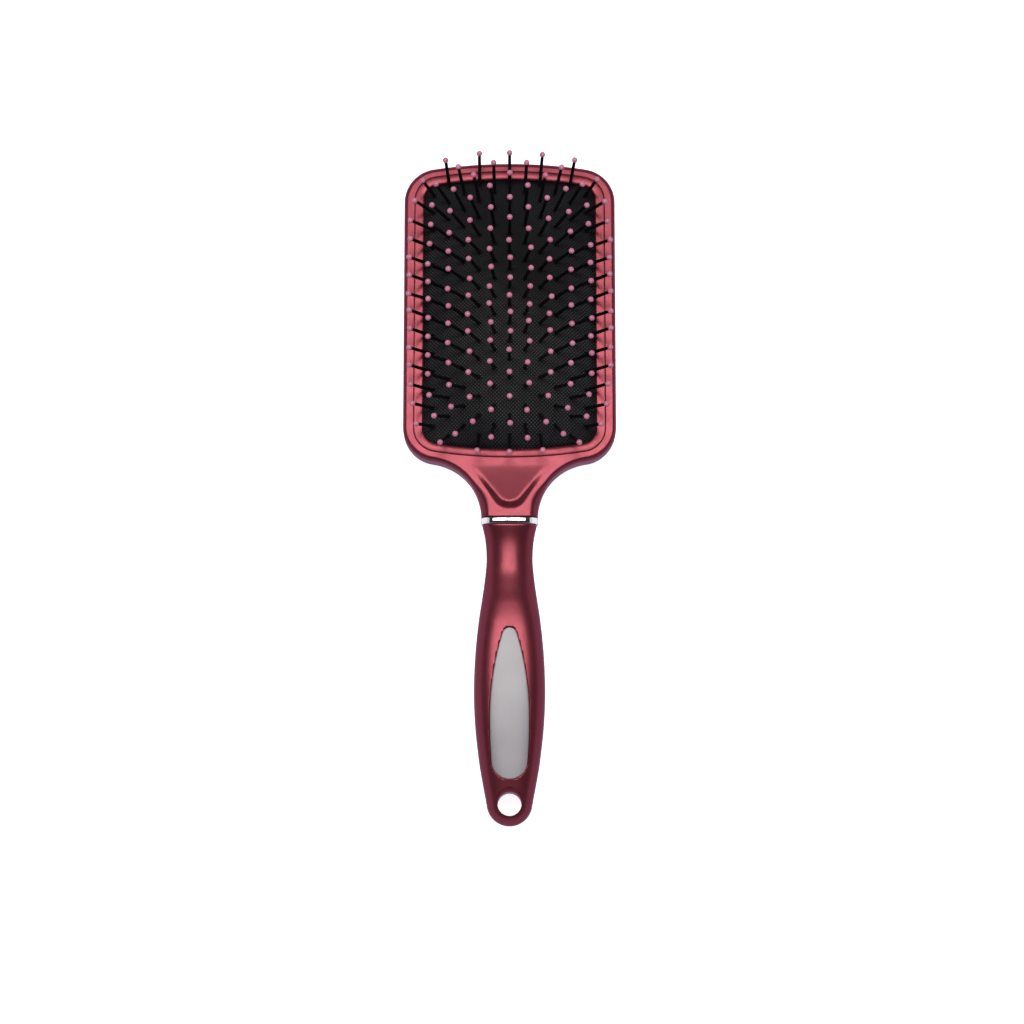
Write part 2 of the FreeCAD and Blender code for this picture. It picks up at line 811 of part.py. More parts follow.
def make_round_end():
    """A tall prism with one round end, which flares out past the handle's sides."""
    body = new_body("round_end")
    sketch = new_sketch(body, "XY_Plane", -clear_height() * 0.5)
    end_radius, spread_width = size("handle_end_radius"), size("handle_end_spread")
    end_centre = size("handle_tail") + end_radius
    radius, reach, mouth = float(end_radius), float(spread_width), float(size("neck_end"))
    middle, corner = V(0, float(end_centre), 0), V(reach, mouth, 0)
    flare = heading(middle, corner) - math.degrees(math.acos(radius / corner.distanceToPoint(middle)))
    touch = middle + V(math.cos(math.radians(flare)), math.sin(math.radians(flare)), 0) * radius
    outline = Outline(sketch, [
        arc(middle, radius, 180 - flare, 360 + flare),
        Part.LineSegment(touch, corner),
        Part.LineSegment(corner, V(-reach, mouth, 0)),
        Part.LineSegment(V(-reach, mouth, 0), V(-touch.x, touch.y, 0)),
    ], corners=(1, 2))
    first = outline.first
    outline.radius(0, end_radius)
    outline.tie("PointOnObject", first, CENTRE, Y_AXIS)
    outline.place("Y", 0, CENTRE, end_centre)
    outline.tie("Symmetric", first + 2, START, first + 2, END, Y_AXIS)
    outline.place("Y", 2, START, size("neck_end"))
    outline.place("X", 2, START, spread_width)
    add_pad(body, sketch, clear_height() * 2)
    return body


def make_handle(outer):
    """The hollow handle: cavity for the tang, recess for the plate, round end and hanging hole."""
    cavity = make_loft("cavity", size("handle_wall"), hang_hole_edge() + size("cavity_end_gap"))
    hollow = combine("Cut", "handle_hollow", outer, cavity)
    depth = size("plate_thickness") + size("glue_thickness")
    recess = combine("Cut", "plate_recess", make_prism("recess_prism", size("plate_gap")),
                     make_loft("recess_floor", depth))
    recessed = combine("Cut", "handle_recessed", hollow, recess)
    rounded = combine("Common", "handle_rounded", recessed, make_round_end())
    hole = DOC.addObject("Part::Cylinder", "hang_hole")
    bind(hole, "Radius", size("hang_hole_radius"))
    bind(hole, "Height", clear_height() * 2)
    bind(hole, "Placement.Base.y", hang_hole_centre())
    bind(hole, "Placement.Base.z", -clear_height() * 0.5)
    handle = combine("Cut", "handle", rounded, hole)
    handle.Label = "handle"
    return handle


def make_plate(outer):
    """The metal plate let into the handle's front, and the film of glue under it."""
    thickness = size("plate_thickness")
    prism = make_prism("plate_prism", 0)
    under = make_loft("plate_underside", thickness)
    blank = combine("Common", "plate_blank", outer, prism)
    plate = combine("Cut", "inlay_plate", blank, under)
    plate.Label = "inlay_plate"
    bed = combine("Common", "glue_blank", under, prism)
    floor = make_loft("glue_underside", thickness + size("glue_thickness"))
    glue = combine("Cut", "plate_glue", bed, floor)
    glue.Label = "plate_glue"
    return [plate, glue]


def failed(thing):
    """Whether a document object is marked as failed."""
    return any(word in thing.State for word in ("Invalid", "Error"))


def write_parts(nodes):
    """Checks every object and shape, and writes one STEP file for each sub-part."""
    DOC.recompute()
    broken = [thing.Label for thing in DOC.Objects if failed(thing)]
    if broken:
        raise RuntimeError(f"failed objects: {broken}")
    for node in nodes:
        if node.Shape.isNull() or not node.Shape.isValid():
            raise RuntimeError(f"bad shape: {node.Label}")
    os.makedirs("parts", exist_ok=True)
    for node in nodes:
        node.Shape.exportStep(f"parts/{node.Label}.step")
        print(node.Label, round(node.Shape.Volume, 2), len(node.Shape.Solids))


fill_sheet()
outer_handle = make_loft("handle_outside", 0)
write_parts([
    make_head_shell(),
    make_cushion_frame(),
    make_cushion_pad(),
    *make_pins(),
    make_collar_ring(),
    make_handle(outer_handle),
    *make_plate(outer_handle),
])
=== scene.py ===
"""Looks of the paddle brush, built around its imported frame.

Sizes are in millimetres and turned into metres when a piece is finished.
"""
from __future__ import annotations

import json
import logging
import math
import random
from dataclasses import dataclass
from enum import Enum
from typing import Sequence

import bmesh
import bpy
from mathutils import Matrix, Vector

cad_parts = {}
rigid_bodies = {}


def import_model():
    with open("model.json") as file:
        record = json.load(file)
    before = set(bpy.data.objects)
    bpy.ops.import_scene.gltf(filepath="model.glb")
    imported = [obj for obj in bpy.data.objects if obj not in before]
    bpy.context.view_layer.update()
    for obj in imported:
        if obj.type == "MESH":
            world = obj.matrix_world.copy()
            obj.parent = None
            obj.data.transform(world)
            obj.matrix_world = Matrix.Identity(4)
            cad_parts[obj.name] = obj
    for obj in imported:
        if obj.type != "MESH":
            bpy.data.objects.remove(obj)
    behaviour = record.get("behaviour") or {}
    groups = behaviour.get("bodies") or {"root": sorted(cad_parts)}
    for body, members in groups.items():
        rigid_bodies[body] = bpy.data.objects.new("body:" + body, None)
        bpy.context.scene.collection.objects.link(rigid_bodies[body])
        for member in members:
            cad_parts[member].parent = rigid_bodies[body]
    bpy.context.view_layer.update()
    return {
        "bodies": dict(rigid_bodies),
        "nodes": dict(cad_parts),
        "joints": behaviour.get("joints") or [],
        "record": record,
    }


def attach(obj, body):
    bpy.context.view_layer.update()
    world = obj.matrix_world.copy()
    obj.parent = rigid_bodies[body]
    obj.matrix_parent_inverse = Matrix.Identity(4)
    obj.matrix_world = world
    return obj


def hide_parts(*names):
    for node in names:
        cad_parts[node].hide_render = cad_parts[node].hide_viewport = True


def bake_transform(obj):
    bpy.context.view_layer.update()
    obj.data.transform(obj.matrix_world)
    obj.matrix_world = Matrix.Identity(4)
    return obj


MM = 0.001
LOG = logging.getLogger("paddle_brush")
Loop = list[Vector]


class Body(Enum):
    """The rigid bodies of the frame that pieces ride on."""

    BRUSH = "brush_body"
    CUSHION = "cushion"


def polar(centre: Vector, radius: float, degrees: float) -> Vector:
    """The point at a radius and direction in degrees from a centre, in the XY plane."""
    turn = math.radians(degrees)
    return centre + Vector((math.cos(turn), math.sin(turn), 0)) * radius


def smooth_step(value: float) -> float:
    """Runs smoothly from 0 to 1 as the value does."""
    held = min(max(value, 0.0), 1.0)
    return held * held * (3 - 2 * held)


def squared_round(y: float, wide: float, tall: float, middle: float, square: float, count: int) -> Loop:
    """Points round an upright oval that is squared off at its corners.

    Args:
        y: place along the brush.
        wide: half its width.
        tall: half its height.
        middle: height of its middle.
        square: 2 for an oval, more for squarer corners.
        count: how many points it gets.

    Returns:
        The points.
    """
    points = []
    for step in range(count):
        turn = math.tau * step / count
        c, s = math.cos(turn), math.sin(turn)
        x = math.copysign(abs(c) ** (2 / square), c) * wide
        z = math.copysign(abs(s) ** (2 / square), s) * tall
        points.append(Vector((x, y, middle + z)))
    return points


def steps(start: float, end: float, count: int) -> list[float]:
    """Evenly spaced values from start up to, but not with, end."""
    return [start + (end - start) * step / count for step in range(count)]


# ---------------------------------------------------------------- meshes


class Skin:
    """A closed skin grown from one loop of points by extruding it from place to place."""

    def __init__(self, loop: Loop) -> None:
        """Starts the skin.

        Args:
            loop: the points of the first loop, in order.
        """
        self.bm = bmesh.new()
        self.verts = [self.bm.verts.new(point) for point in loop]
        self.edges = [self.bm.edges.new((a, b)) for a, b in zip(self.verts, self.verts[1:] + self.verts[:1])]
        self.first = list(self.edges)

    def grow(self, loop: Loop) -> None:
        """Extrudes the last loop and moves the copy to new places.

        Args:
            loop: as many points as the last loop has.
        """
        made = bmesh.ops.extrude_edge_only(self.bm, edges=self.edges)["geom"]
        fresh = {item for item in made if isinstance(item, bmesh.types.BMVert)}
        copies = [next(e.other_vert(v) for e in v.link_edges if e.other_vert(v) in fresh) for v in self.verts]
        for vert, point in zip(copies, loop):
            vert.co = point
        self.verts = copies
        self.edges = [self.bm.edges.get((a, b)) for a, b in zip(copies, copies[1:] + copies[:1])]

    def cap(self, edges: list[bmesh.types.BMEdge]) -> None:
        """Closes a flat loop with one face."""
        bmesh.ops.contextual_create(self.bm, geom=edges)

    def close(self) -> bmesh.types.BMesh:
        """Closes both ends with flat faces.

        Returns:
            The mesh.
        """
        self.cap(self.first)
        self.cap(self.edges)
        return self.bm

    def stitch(self) -> bmesh.types.BMesh:
        """Closes ends that were drawn in to a line by merging their points, and hands the mesh over."""
        bmesh.ops.remove_doubles(self.bm, verts=self.bm.verts, dist=0.0005)
        return self.bm

    def join_ends(self) -> bmesh.types.BMesh:
        """Joins the last loop to the first, as on a frame or a ring, and hands the mesh over."""
        bmesh.ops.bridge_loops(self.bm, edges=self.first + self.edges)
        return self.bm


def turned(profile: Sequence[tuple[float, float]], segments: int) -> bmesh.types.BMesh:
    """Spins a profile of (radius, height) points round Z into a closed shape.

    Args:
        profile: points from the axis, round the outside, back to the axis.
        segments: how many steps the full turn has.

    Returns:
        The new mesh.
    """
    bm = bmesh.new()
    verts = [bm.verts.new((radius, 0, height)) for radius, height in profile]
    edges = [bm.edges.new(pair) for pair in zip(verts, verts[1:])]
    bmesh.ops.spin(bm, geom=verts + edges, cent=(0, 0, 0), axis=(0, 0, 1), angle=math.tau,
                   steps=segments, use_merge=True)
    bmesh.ops.remove_doubles(bm, verts=bm.verts, dist=1e-5)
    bmesh.ops.recalc_face_normals(bm, faces=bm.faces)
    return bm


def scatter(pattern: bmesh.types.BMesh, places: Sequence[Matrix]) -> bmesh.types.BMesh:
    """Copies one shape to many places in a single mesh.

    Args:
        pattern: the shape, which is freed.
        places: where each copy goes.

    Returns:
        The mesh that holds every copy.
    """
    mesh = bpy.data.meshes.new("pattern")
    pattern.to_mesh(mesh)
    pattern.free()
    bm = bmesh.new()
    for place in places:
        known = len(bm.verts)
        bm.from_mesh(mesh)
        bm.verts.ensure_lookup_table()
        bmesh.ops.transform(bm, matrix=place, verts=bm.verts[known:])
    bpy.data.meshes.remove(mesh)
    return bm


def new_piece(bm: bmesh.types.BMesh, name: str, sharp: float = 40.0) -> bpy.types.Object:
    """Turns a mesh in millimetres into a smooth-shaded object at the origin.

    Args:
        bm: the mesh, which is freed.
        name: the object's name.
        sharp: edges that turn by more than this many degrees stay crisp.

    Returns:
        The new object.
    """
    bmesh.ops.recalc_face_normals(bm, faces=bm.faces)
    bmesh.ops.scale(bm, vec=(MM, MM, MM), verts=bm.verts)
    mesh = bpy.data.meshes.new(name)
    bm.to_mesh(mesh)
    bm.free()
    mesh.polygons.foreach_set("use_smooth", [True] * len(mesh.polygons))
    mesh.set_sharp_from_angle(angle=math.radians(sharp))
    piece = bpy.data.objects.new(name, mesh)
    bpy.context.scene.collection.objects.link(piece)
    return piece


def carve(piece: bpy.types.Object, cutter: bpy.types.Object) -> None:
    """Cuts one object out of another for good.

    Args:
        piece: the object that is cut.
        cutter: the shape that is taken away, which is removed afterwards.
    """
    modifier = piece.modifiers.new("cut", "BOOLEAN")
    modifier.object = cutter
    modifier.solver = "EXACT"
    graph = bpy.context.evaluated_depsgraph_get()
    cut = bpy.data.meshes.new_from_object(piece.evaluated_get(graph))
    piece.modifiers.clear()
    old = piece.data
    piece.data = cut
    bpy.data.meshes.remove(old)
    bpy.data.objects.remove(cutter)


@dataclass(frozen=True)
class Arched:
    """A rounded rectangle whose two ends are gently arched."""

    half_width: float
    half_length: float
    arch: float
    corner: float
    middle: float

    def grown(self, side: float, end: float) -> Arched:
        """The outline moved outwards by one amount at its sides and another at its ends."""
        return Arched(self.half_width + side, self.half_length + end, self.arch + end,
                      self.corner + side, self.middle)

    def quarter(self) -> tuple[Vector, Vector, float]:
        """Finds where one end's arch and its right corner meet.

        Returns:
            The arch's centre, the corner's centre and the direction in degrees of the place they meet.
        """
        arch_y = self.half_length - self.arch
        inner = self.half_width - self.corner
        corner_y = arch_y + math.sqrt((self.arch - self.corner) ** 2 - inner ** 2)
        lean = math.degrees(math.atan2(corner_y - arch_y, inner))
        return Vector((0, arch_y, 0)), Vector((inner, corner_y, 0)), lean

    def loop(self, counts: LoopCounts, height: float, share: float = 1.0) -> Loop:
        """Points along the outline, anticlockwise from the foot of the right side.

        Args:
            counts: how many points each stretch gets.
            height: their height.
            share: how much of the outline's full size the loop has.

        Returns:
            The points.
        """
        arch, corner, lean = self.quarter()
        flip = Vector((-1, 1, 1))
        left = corner * flip
        half = [Vector((self.half_width, y, 0)) for y in steps(-corner.y, corner.y, counts.side)]
        half += [polar(corner, self.corner, a) for a in steps(0, lean, counts.corner)]
        half += [polar(arch, self.arch, a) for a in steps(lean, 180 - lean, counts.top)]
        half += [polar(left, self.corner, a) for a in steps(180 - lean, 180, counts.corner)]
        turned_over = [Vector((-self.half_width, y, 0)) for y in steps(corner.y, -corner.y, counts.side)]
        low_left, low_arch, low_right = -corner, -arch, Vector((corner.x, -corner.y, 0))
        turned_over += [polar(low_left, self.corner, a) for a in steps(180, 180 + lean, counts.shoulder)]
        turned_over += [polar(low_arch, self.arch, a) for a in steps(180 + lean, 360 - lean, counts.bottom)]
        turned_over += [polar(low_right, self.corner, a) for a in steps(360 - lean, 360, counts.shoulder)]
        place = Vector((0, self.middle, height))
        return [point * share + place for point in half + turned_over]


@dataclass(frozen=True)
class LoopCounts:
    """How many points each stretch of a loop round the head gets."""

    side: int = 60
    corner: int = 14
    top: int = 44
    shoulder: int = 16
    flare: int = 26
    neck: int = 20

    @property
    def bottom(self) -> int:
        """Points along the outline's lower end: both flares and the neck's end."""
        return 2 * self.flare + self.neck


# ---------------------------------------------------------------- finishes


class Graph:
    """A material's node tree and its main shader."""

    def __init__(self, name: str) -> None:
        """Makes the material with a Principled shader.

        Args:
            name: the material's name.
        """
        self.material = bpy.data.materials.new(name)
        self.material.use_nodes = True
        self.tree = self.material.node_tree
        self.shader = self.tree.nodes["Principled BSDF"]

    def add(self, kind: str, inputs: dict[str, object] | None = None, **settings: object) -> bpy.types.Node:
        """Adds a node.

        Args:
            kind: the node's type.
            inputs: values for its input sockets, or output sockets to link to them.
            settings: values for its properties.

        Returns:
            The node.
        """
        node = self.tree.nodes.new(kind)
        for name, value in settings.items():
            setattr(node, name, value)
        for name, value in (inputs or {}).items():
            self.feed(node.inputs[name], value)
        return node

    def feed(self, socket: bpy.types.NodeSocket, value: object) -> None:
        """Links an output to an input socket, or sets the socket's value.

        Args:
            socket: the input socket.
            value: the output, or the value.
        """
        if isinstance(value, bpy.types.NodeSocket):
            self.tree.links.new(value, socket)
        else:
            socket.default_value = value

    def place(self, scale: Sequence[float] = (1, 1, 1), turn: float = 0.0) -> bpy.types.NodeSocket:
        """Scales and turns the Object coordinates.

        Args:
            scale: their scale along each axis.
            turn: their turn about Z, in degrees.

        Returns:
            The coordinates.
        """
        where = self.add("ShaderNodeTexCoord").outputs["Object"]
        mapping = self.add("ShaderNodeMapping", {"Vector": where, "Rotation": (0, 0, math.radians(turn)),
                                                 "Scale": scale})
        return mapping.outputs["Vector"]

    def noise(self, scale: float, detail: float = 2.0, vector: bpy.types.NodeSocket | None = None,
              rough: float = 0.5) -> bpy.types.NodeSocket:
        """Adds a noise pattern.

        Args:
            scale: its cells per metre.
            detail: how many finer layers it has.
            vector: where it is read, in place of plain Object coordinates.
            rough: how strong the finer layers are.

        Returns:
            Its value.
        """
        where = vector or self.place()
        inputs = {"Vector": where, "Scale": scale, "Detail": detail, "Roughness": rough}
        return self.add("ShaderNodeTexNoise", inputs).outputs["Fac"]

    def spread(self, value: bpy.types.NodeSocket, low: float, high: float,
               start: float = 0.3, end: float = 0.7) -> bpy.types.NodeSocket:
        """Maps a pattern's values from one range to another."""
        inputs = {"Value": value, "From Min": start, "From Max": end, "To Min": low, "To Max": high}
        return self.add("ShaderNodeMapRange", inputs).outputs["Result"]

    def blend(self, share: bpy.types.NodeSocket, first: Sequence[float],
              second: Sequence[float]) -> bpy.types.NodeSocket:
        """Mixes two colours by a pattern.

        Args:
            share: how much of the second colour is taken.
            first: the first colour.
            second: the second colour.

        Returns:
            The mixed colour.
        """
        mix = self.add("ShaderNodeMix", data_type="RGBA")
        self.feed(mix.inputs[0], share)
        self.feed(mix.inputs[6], (*first, 1))
        self.feed(mix.inputs[7], (*second, 1))
        return mix.outputs[2]

    def maths(self, operation: str, first: object, second: object) -> bpy.types.NodeSocket:
        """Does one sum on two values.

        Args:
            operation: the sum.
            first: its first value or socket.
            second: its second value or socket.

        Returns:
            The outcome.
        """
        node = self.add("ShaderNodeMath", operation=operation)
        self.feed(node.inputs[0], first)
        self.feed(node.inputs[1], second)
        return node.outputs[0]

    def bump(self, height: bpy.types.NodeSocket, depth: float, strength: float = 1.0,
             under: bpy.types.NodeSocket | None = None) -> bpy.types.NodeSocket:
        """Adds a bump.

        Args:
            height: the pattern that raises it.
            depth: its depth in metres.
            strength: how much of it shows.
            under: the bump that it lies over.

        Returns:
            The bent normal.
        """
        inputs = {"Height": height, "Distance": depth, "Strength": strength}
        if under is not None:
            inputs["Normal"] = under
        return self.add("ShaderNodeBump", inputs).outputs["Normal"]

    def set(self, **inputs: object) -> None:
        """Sets or links the shader's own sockets; an underscore stands for a space."""
        for name, value in inputs.items():
            self.feed(self.shader.inputs[name.replace("_", " ")], value)


Colour = tuple[float, float, float]


@dataclass(frozen=True)
class Lacquer:
    """Satin pearl lacquer: metallic flakes under a thin clear coat, with a faint violet sheen."""

    name: str = "pearl_lacquer"
    light: Colour = (0.50, 0.088, 0.115)
    deep: Colour = (0.45, 0.075, 0.10)
    roughness: float = 0.32
    flake: float = 5200.0

    def material(self) -> bpy.types.Material:
        """Makes the material.

        Returns:
            The material.
        """
        graph = Graph(self.name)
        cloud = graph.noise(38.0, 3.0)
        flakes = graph.noise(self.flake, 1.0)
        haze = graph.noise(420.0, 4.0, rough=0.7)
        scuff = graph.noise(60.0, 8.0, graph.place((1, 0.12, 1), 24.0), rough=0.75)
        orange_peel = graph.bump(graph.noise(650.0, 2.0), 0.000012)
        normal = graph.bump(flakes, 0.000006, 0.8, orange_peel)
        graph.set(
            Base_Color=graph.blend(graph.spread(cloud, 0, 1), self.light, self.deep),
            Metallic=0.72,
            Roughness=graph.maths("ADD", graph.spread(haze, self.roughness - 0.03, self.roughness + 0.03),
                                  graph.spread(scuff, 0.0, 0.05, 0.55, 0.75)),
            Normal=normal,
            Coat_Weight=0.22,
            Coat_Roughness=0.22,
            Sheen_Weight=0.12,
            Sheen_Roughness=0.4,
            Sheen_Tint=(0.50, 0.22, 0.75, 1),
        )
        return graph.material


@dataclass(frozen=True)
class WovenRubber:
    """Black rubber moulded with a fine diagonal cloth weave, its colour carrying painted shade that darkens
    towards the pad's far end and painted patches of light and shade.
    """

    name: str = "woven_rubber"
    dark: Colour = (0.006, 0.007, 0.0065)
    light: Colour = (0.210, 0.220, 0.200)
    pitch: float = 0.00095

    def material(self) -> bpy.types.Material:
        """Makes the material.

        Returns:
            The material.
        """
        graph = Graph(self.name)
        grime = graph.noise(90.0, 4.0)
        grain = graph.noise(4200.0, 2.0)
        threads = []
        for turn in (45.0, -45.0):
            inputs = {"Vector": graph.place(turn=turn), "Scale": math.tau / (20 * self.pitch),
                      "Distortion": 0.25, "Detail": 1.0, "Detail Scale": 1.5}
            threads.append(graph.add("ShaderNodeTexWave", inputs, bands_direction="X").outputs["Fac"])
        weave = graph.maths("MULTIPLY", *threads)
        # Painted shade: the weave's colour fades darker towards the pad's far end (from 70 to 115 mm along
        # Y), and large noise patches of painted light and shade lie over it
        along = graph.add("ShaderNodeSeparateXYZ", {"Vector": graph.place()}).outputs["Y"]
        shade = graph.spread(along, 1.0, 0.25, 0.07, 0.115)
        painted_light_patches = graph.maths("MULTIPLY", graph.spread(graph.noise(26.0, 1.0), 0.1, 1.0, 0.35, 0.65), shade)
        dusty = graph.maths("MULTIPLY", weave, graph.spread(grime, 0.7, 1.15))
        # The weave's colour: random dust mottle multiplied by the painted light and shade
        weave_dust_and_painted_light = graph.maths("MULTIPLY", dusty, painted_light_patches)
        graph.set(
            Base_Color=graph.blend(weave_dust_and_painted_light, self.dark, self.light),
            Roughness=graph.spread(weave, 0.66, 0.48, 0.0, 1.0),
            Normal=graph.bump(weave, 0.00022, 1.0, graph.bump(grain, 0.00002)),
            Specular_IOR_Level=0.45,
            Sheen_Weight=0.05,
            Sheen_Roughness=0.5,
        )
        return graph.material


@dataclass(frozen=True)
class Nylon:
    """Black nylon of the pins, slightly polished by use."""

    name: str = "black_nylon"
    dark: Colour = (0.004, 0.004, 0.005)
    light: Colour = (0.012, 0.012, 0.014)

    def material(self) -> bpy.types.Material:
        """Makes the material.

        Returns:
            The material.
        """
        graph = Graph(self.name)
        streak = graph.noise(900.0, 3.0, graph.place((1, 1, 0.15)))
        graph.set(Base_Color=graph.blend(graph.spread(streak, 0, 1), self.dark, self.light),
                  Roughness=graph.spread(streak, 0.28, 0.44), Normal=graph.bump(streak, 0.000008))
        return graph.material


@dataclass(frozen=True)
class DippedTip:
    """Pink resin drop on the end of a pin, glossy and a little translucent."""

    name: str = "pink_tip"
    light: Colour = (0.95, 0.38, 0.50)
    deep: Colour = (0.88, 0.28, 0.40)

    def material(self) -> bpy.types.Material:
        """Makes the material.

        Returns:
            The material.
        """
        graph = Graph(self.name)
        cloud = graph.noise(240.0, 2.0)
        fine = graph.noise(2600.0, 2.0)
        graph.set(
            Base_Color=graph.blend(graph.spread(cloud, 0, 1), self.light, self.deep),
            Roughness=graph.spread(fine, 0.30, 0.38),
            Normal=graph.bump(fine, 0.00001),
            Subsurface_Weight=0.12,
            Subsurface_Radius=(0.0012, 0.0005, 0.0005),
            Coat_Weight=0.35,
            Coat_Roughness=0.12,
        )
        return graph.material


@dataclass(frozen=True)
class Chrome:
    """Bright chrome plating with faint smears."""

    name: str = "bright_chrome"
    light: Colour = (0.86, 0.86, 0.87)
    dull: Colour = (0.78, 0.78, 0.80)

    def material(self) -> bpy.types.Material:
        """Makes the material.

        Returns:
            The material.
        """
        graph = Graph(self.name)
        smear = graph.noise(260.0, 5.0, graph.place((1, 0.3, 1)), rough=0.65)
        graph.set(Base_Color=graph.blend(graph.spread(smear, 0, 1), self.light, self.dull), Metallic=1.0,
                  Roughness=graph.spread(smear, 0.04, 0.11), Normal=graph.bump(smear, 0.000004))
        return graph.material


@dataclass(frozen=True)
class SatinMetal:
    """Satin aluminium foil of the plate: fine grain, faint brushing along its length."""

    name: str = "satin_plate"
    light: Colour = (0.80, 0.775, 0.765)
    dull: Colour = (0.68, 0.65, 0.64)

    def material(self) -> bpy.types.Material:
        """Makes the material.

        Returns:
            The material.
        """
        graph = Graph(self.name)
        brushing = graph.noise(2600.0, 3.0, graph.place((1, 0.05, 1)))
        grain = graph.noise(5200.0, 2.0)
        cloud = graph.noise(70.0, 3.0)
        shade = graph.maths("MULTIPLY", graph.spread(cloud, 0.3, 1), graph.spread(grain, 0.4, 1))
        graph.set(
            Base_Color=graph.blend(shade, self.light, self.dull),
            Metallic=0.55,
            Roughness=graph.spread(grain, 0.42, 0.55),
            Normal=graph.bump(brushing, 0.000006, 1.0, graph.bump(grain, 0.000010)),
        )
        return graph.material


@dataclass(frozen=True)
class Glue:
    """The milky film under the plate."""

    name: str = "glue_film"
    colour: Colour = (0.62, 0.60, 0.52)

    def material(self) -> bpy.types.Material:
        """Makes the material.

        Returns:
            The material.
        """
        graph = Graph(self.name)
        mottle = graph.noise(700.0, 3.0)
        darker = tuple(0.8 * channel for channel in self.colour)
        graph.set(Base_Color=graph.blend(graph.spread(mottle, 0, 1), self.colour, darker),
                  Roughness=graph.spread(mottle, 0.3, 0.5), Normal=graph.bump(mottle, 0.00001))
        return graph.material


@dataclass(frozen=True)
class PaleFloor:
    """The plain pale surface that the brush lies on."""

    name: str = "pale_floor"
    colour: Colour = (0.93, 0.93, 0.93)

    def material(self) -> bpy.types.Material:
        """Makes the material.

        Returns:
            The material.
        """
        graph = Graph(self.name)
        graph.set(Base_Color=(*self.colour, 1), Roughness=0.8, Specular_IOR_Level=0.1,
                  Emission_Color=(*self.colour, 1), Emission_Strength=0.8)
        return graph.material


def dress(piece: bpy.types.Object, material: bpy.types.Material, body: str) -> None:
    """Gives a piece its material and the body it rides on.

    Args:
        piece: the piece.
        material: its material.
        body: the body's name.
    """
    piece.data.materials.clear()
    piece.data.materials.append(material)
    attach(piece, body)
    LOG.info("%s: %d faces, rides on %s", piece.name, len(piece.data.polygons), body)


# ---------------------------------------------------------------- the paddle


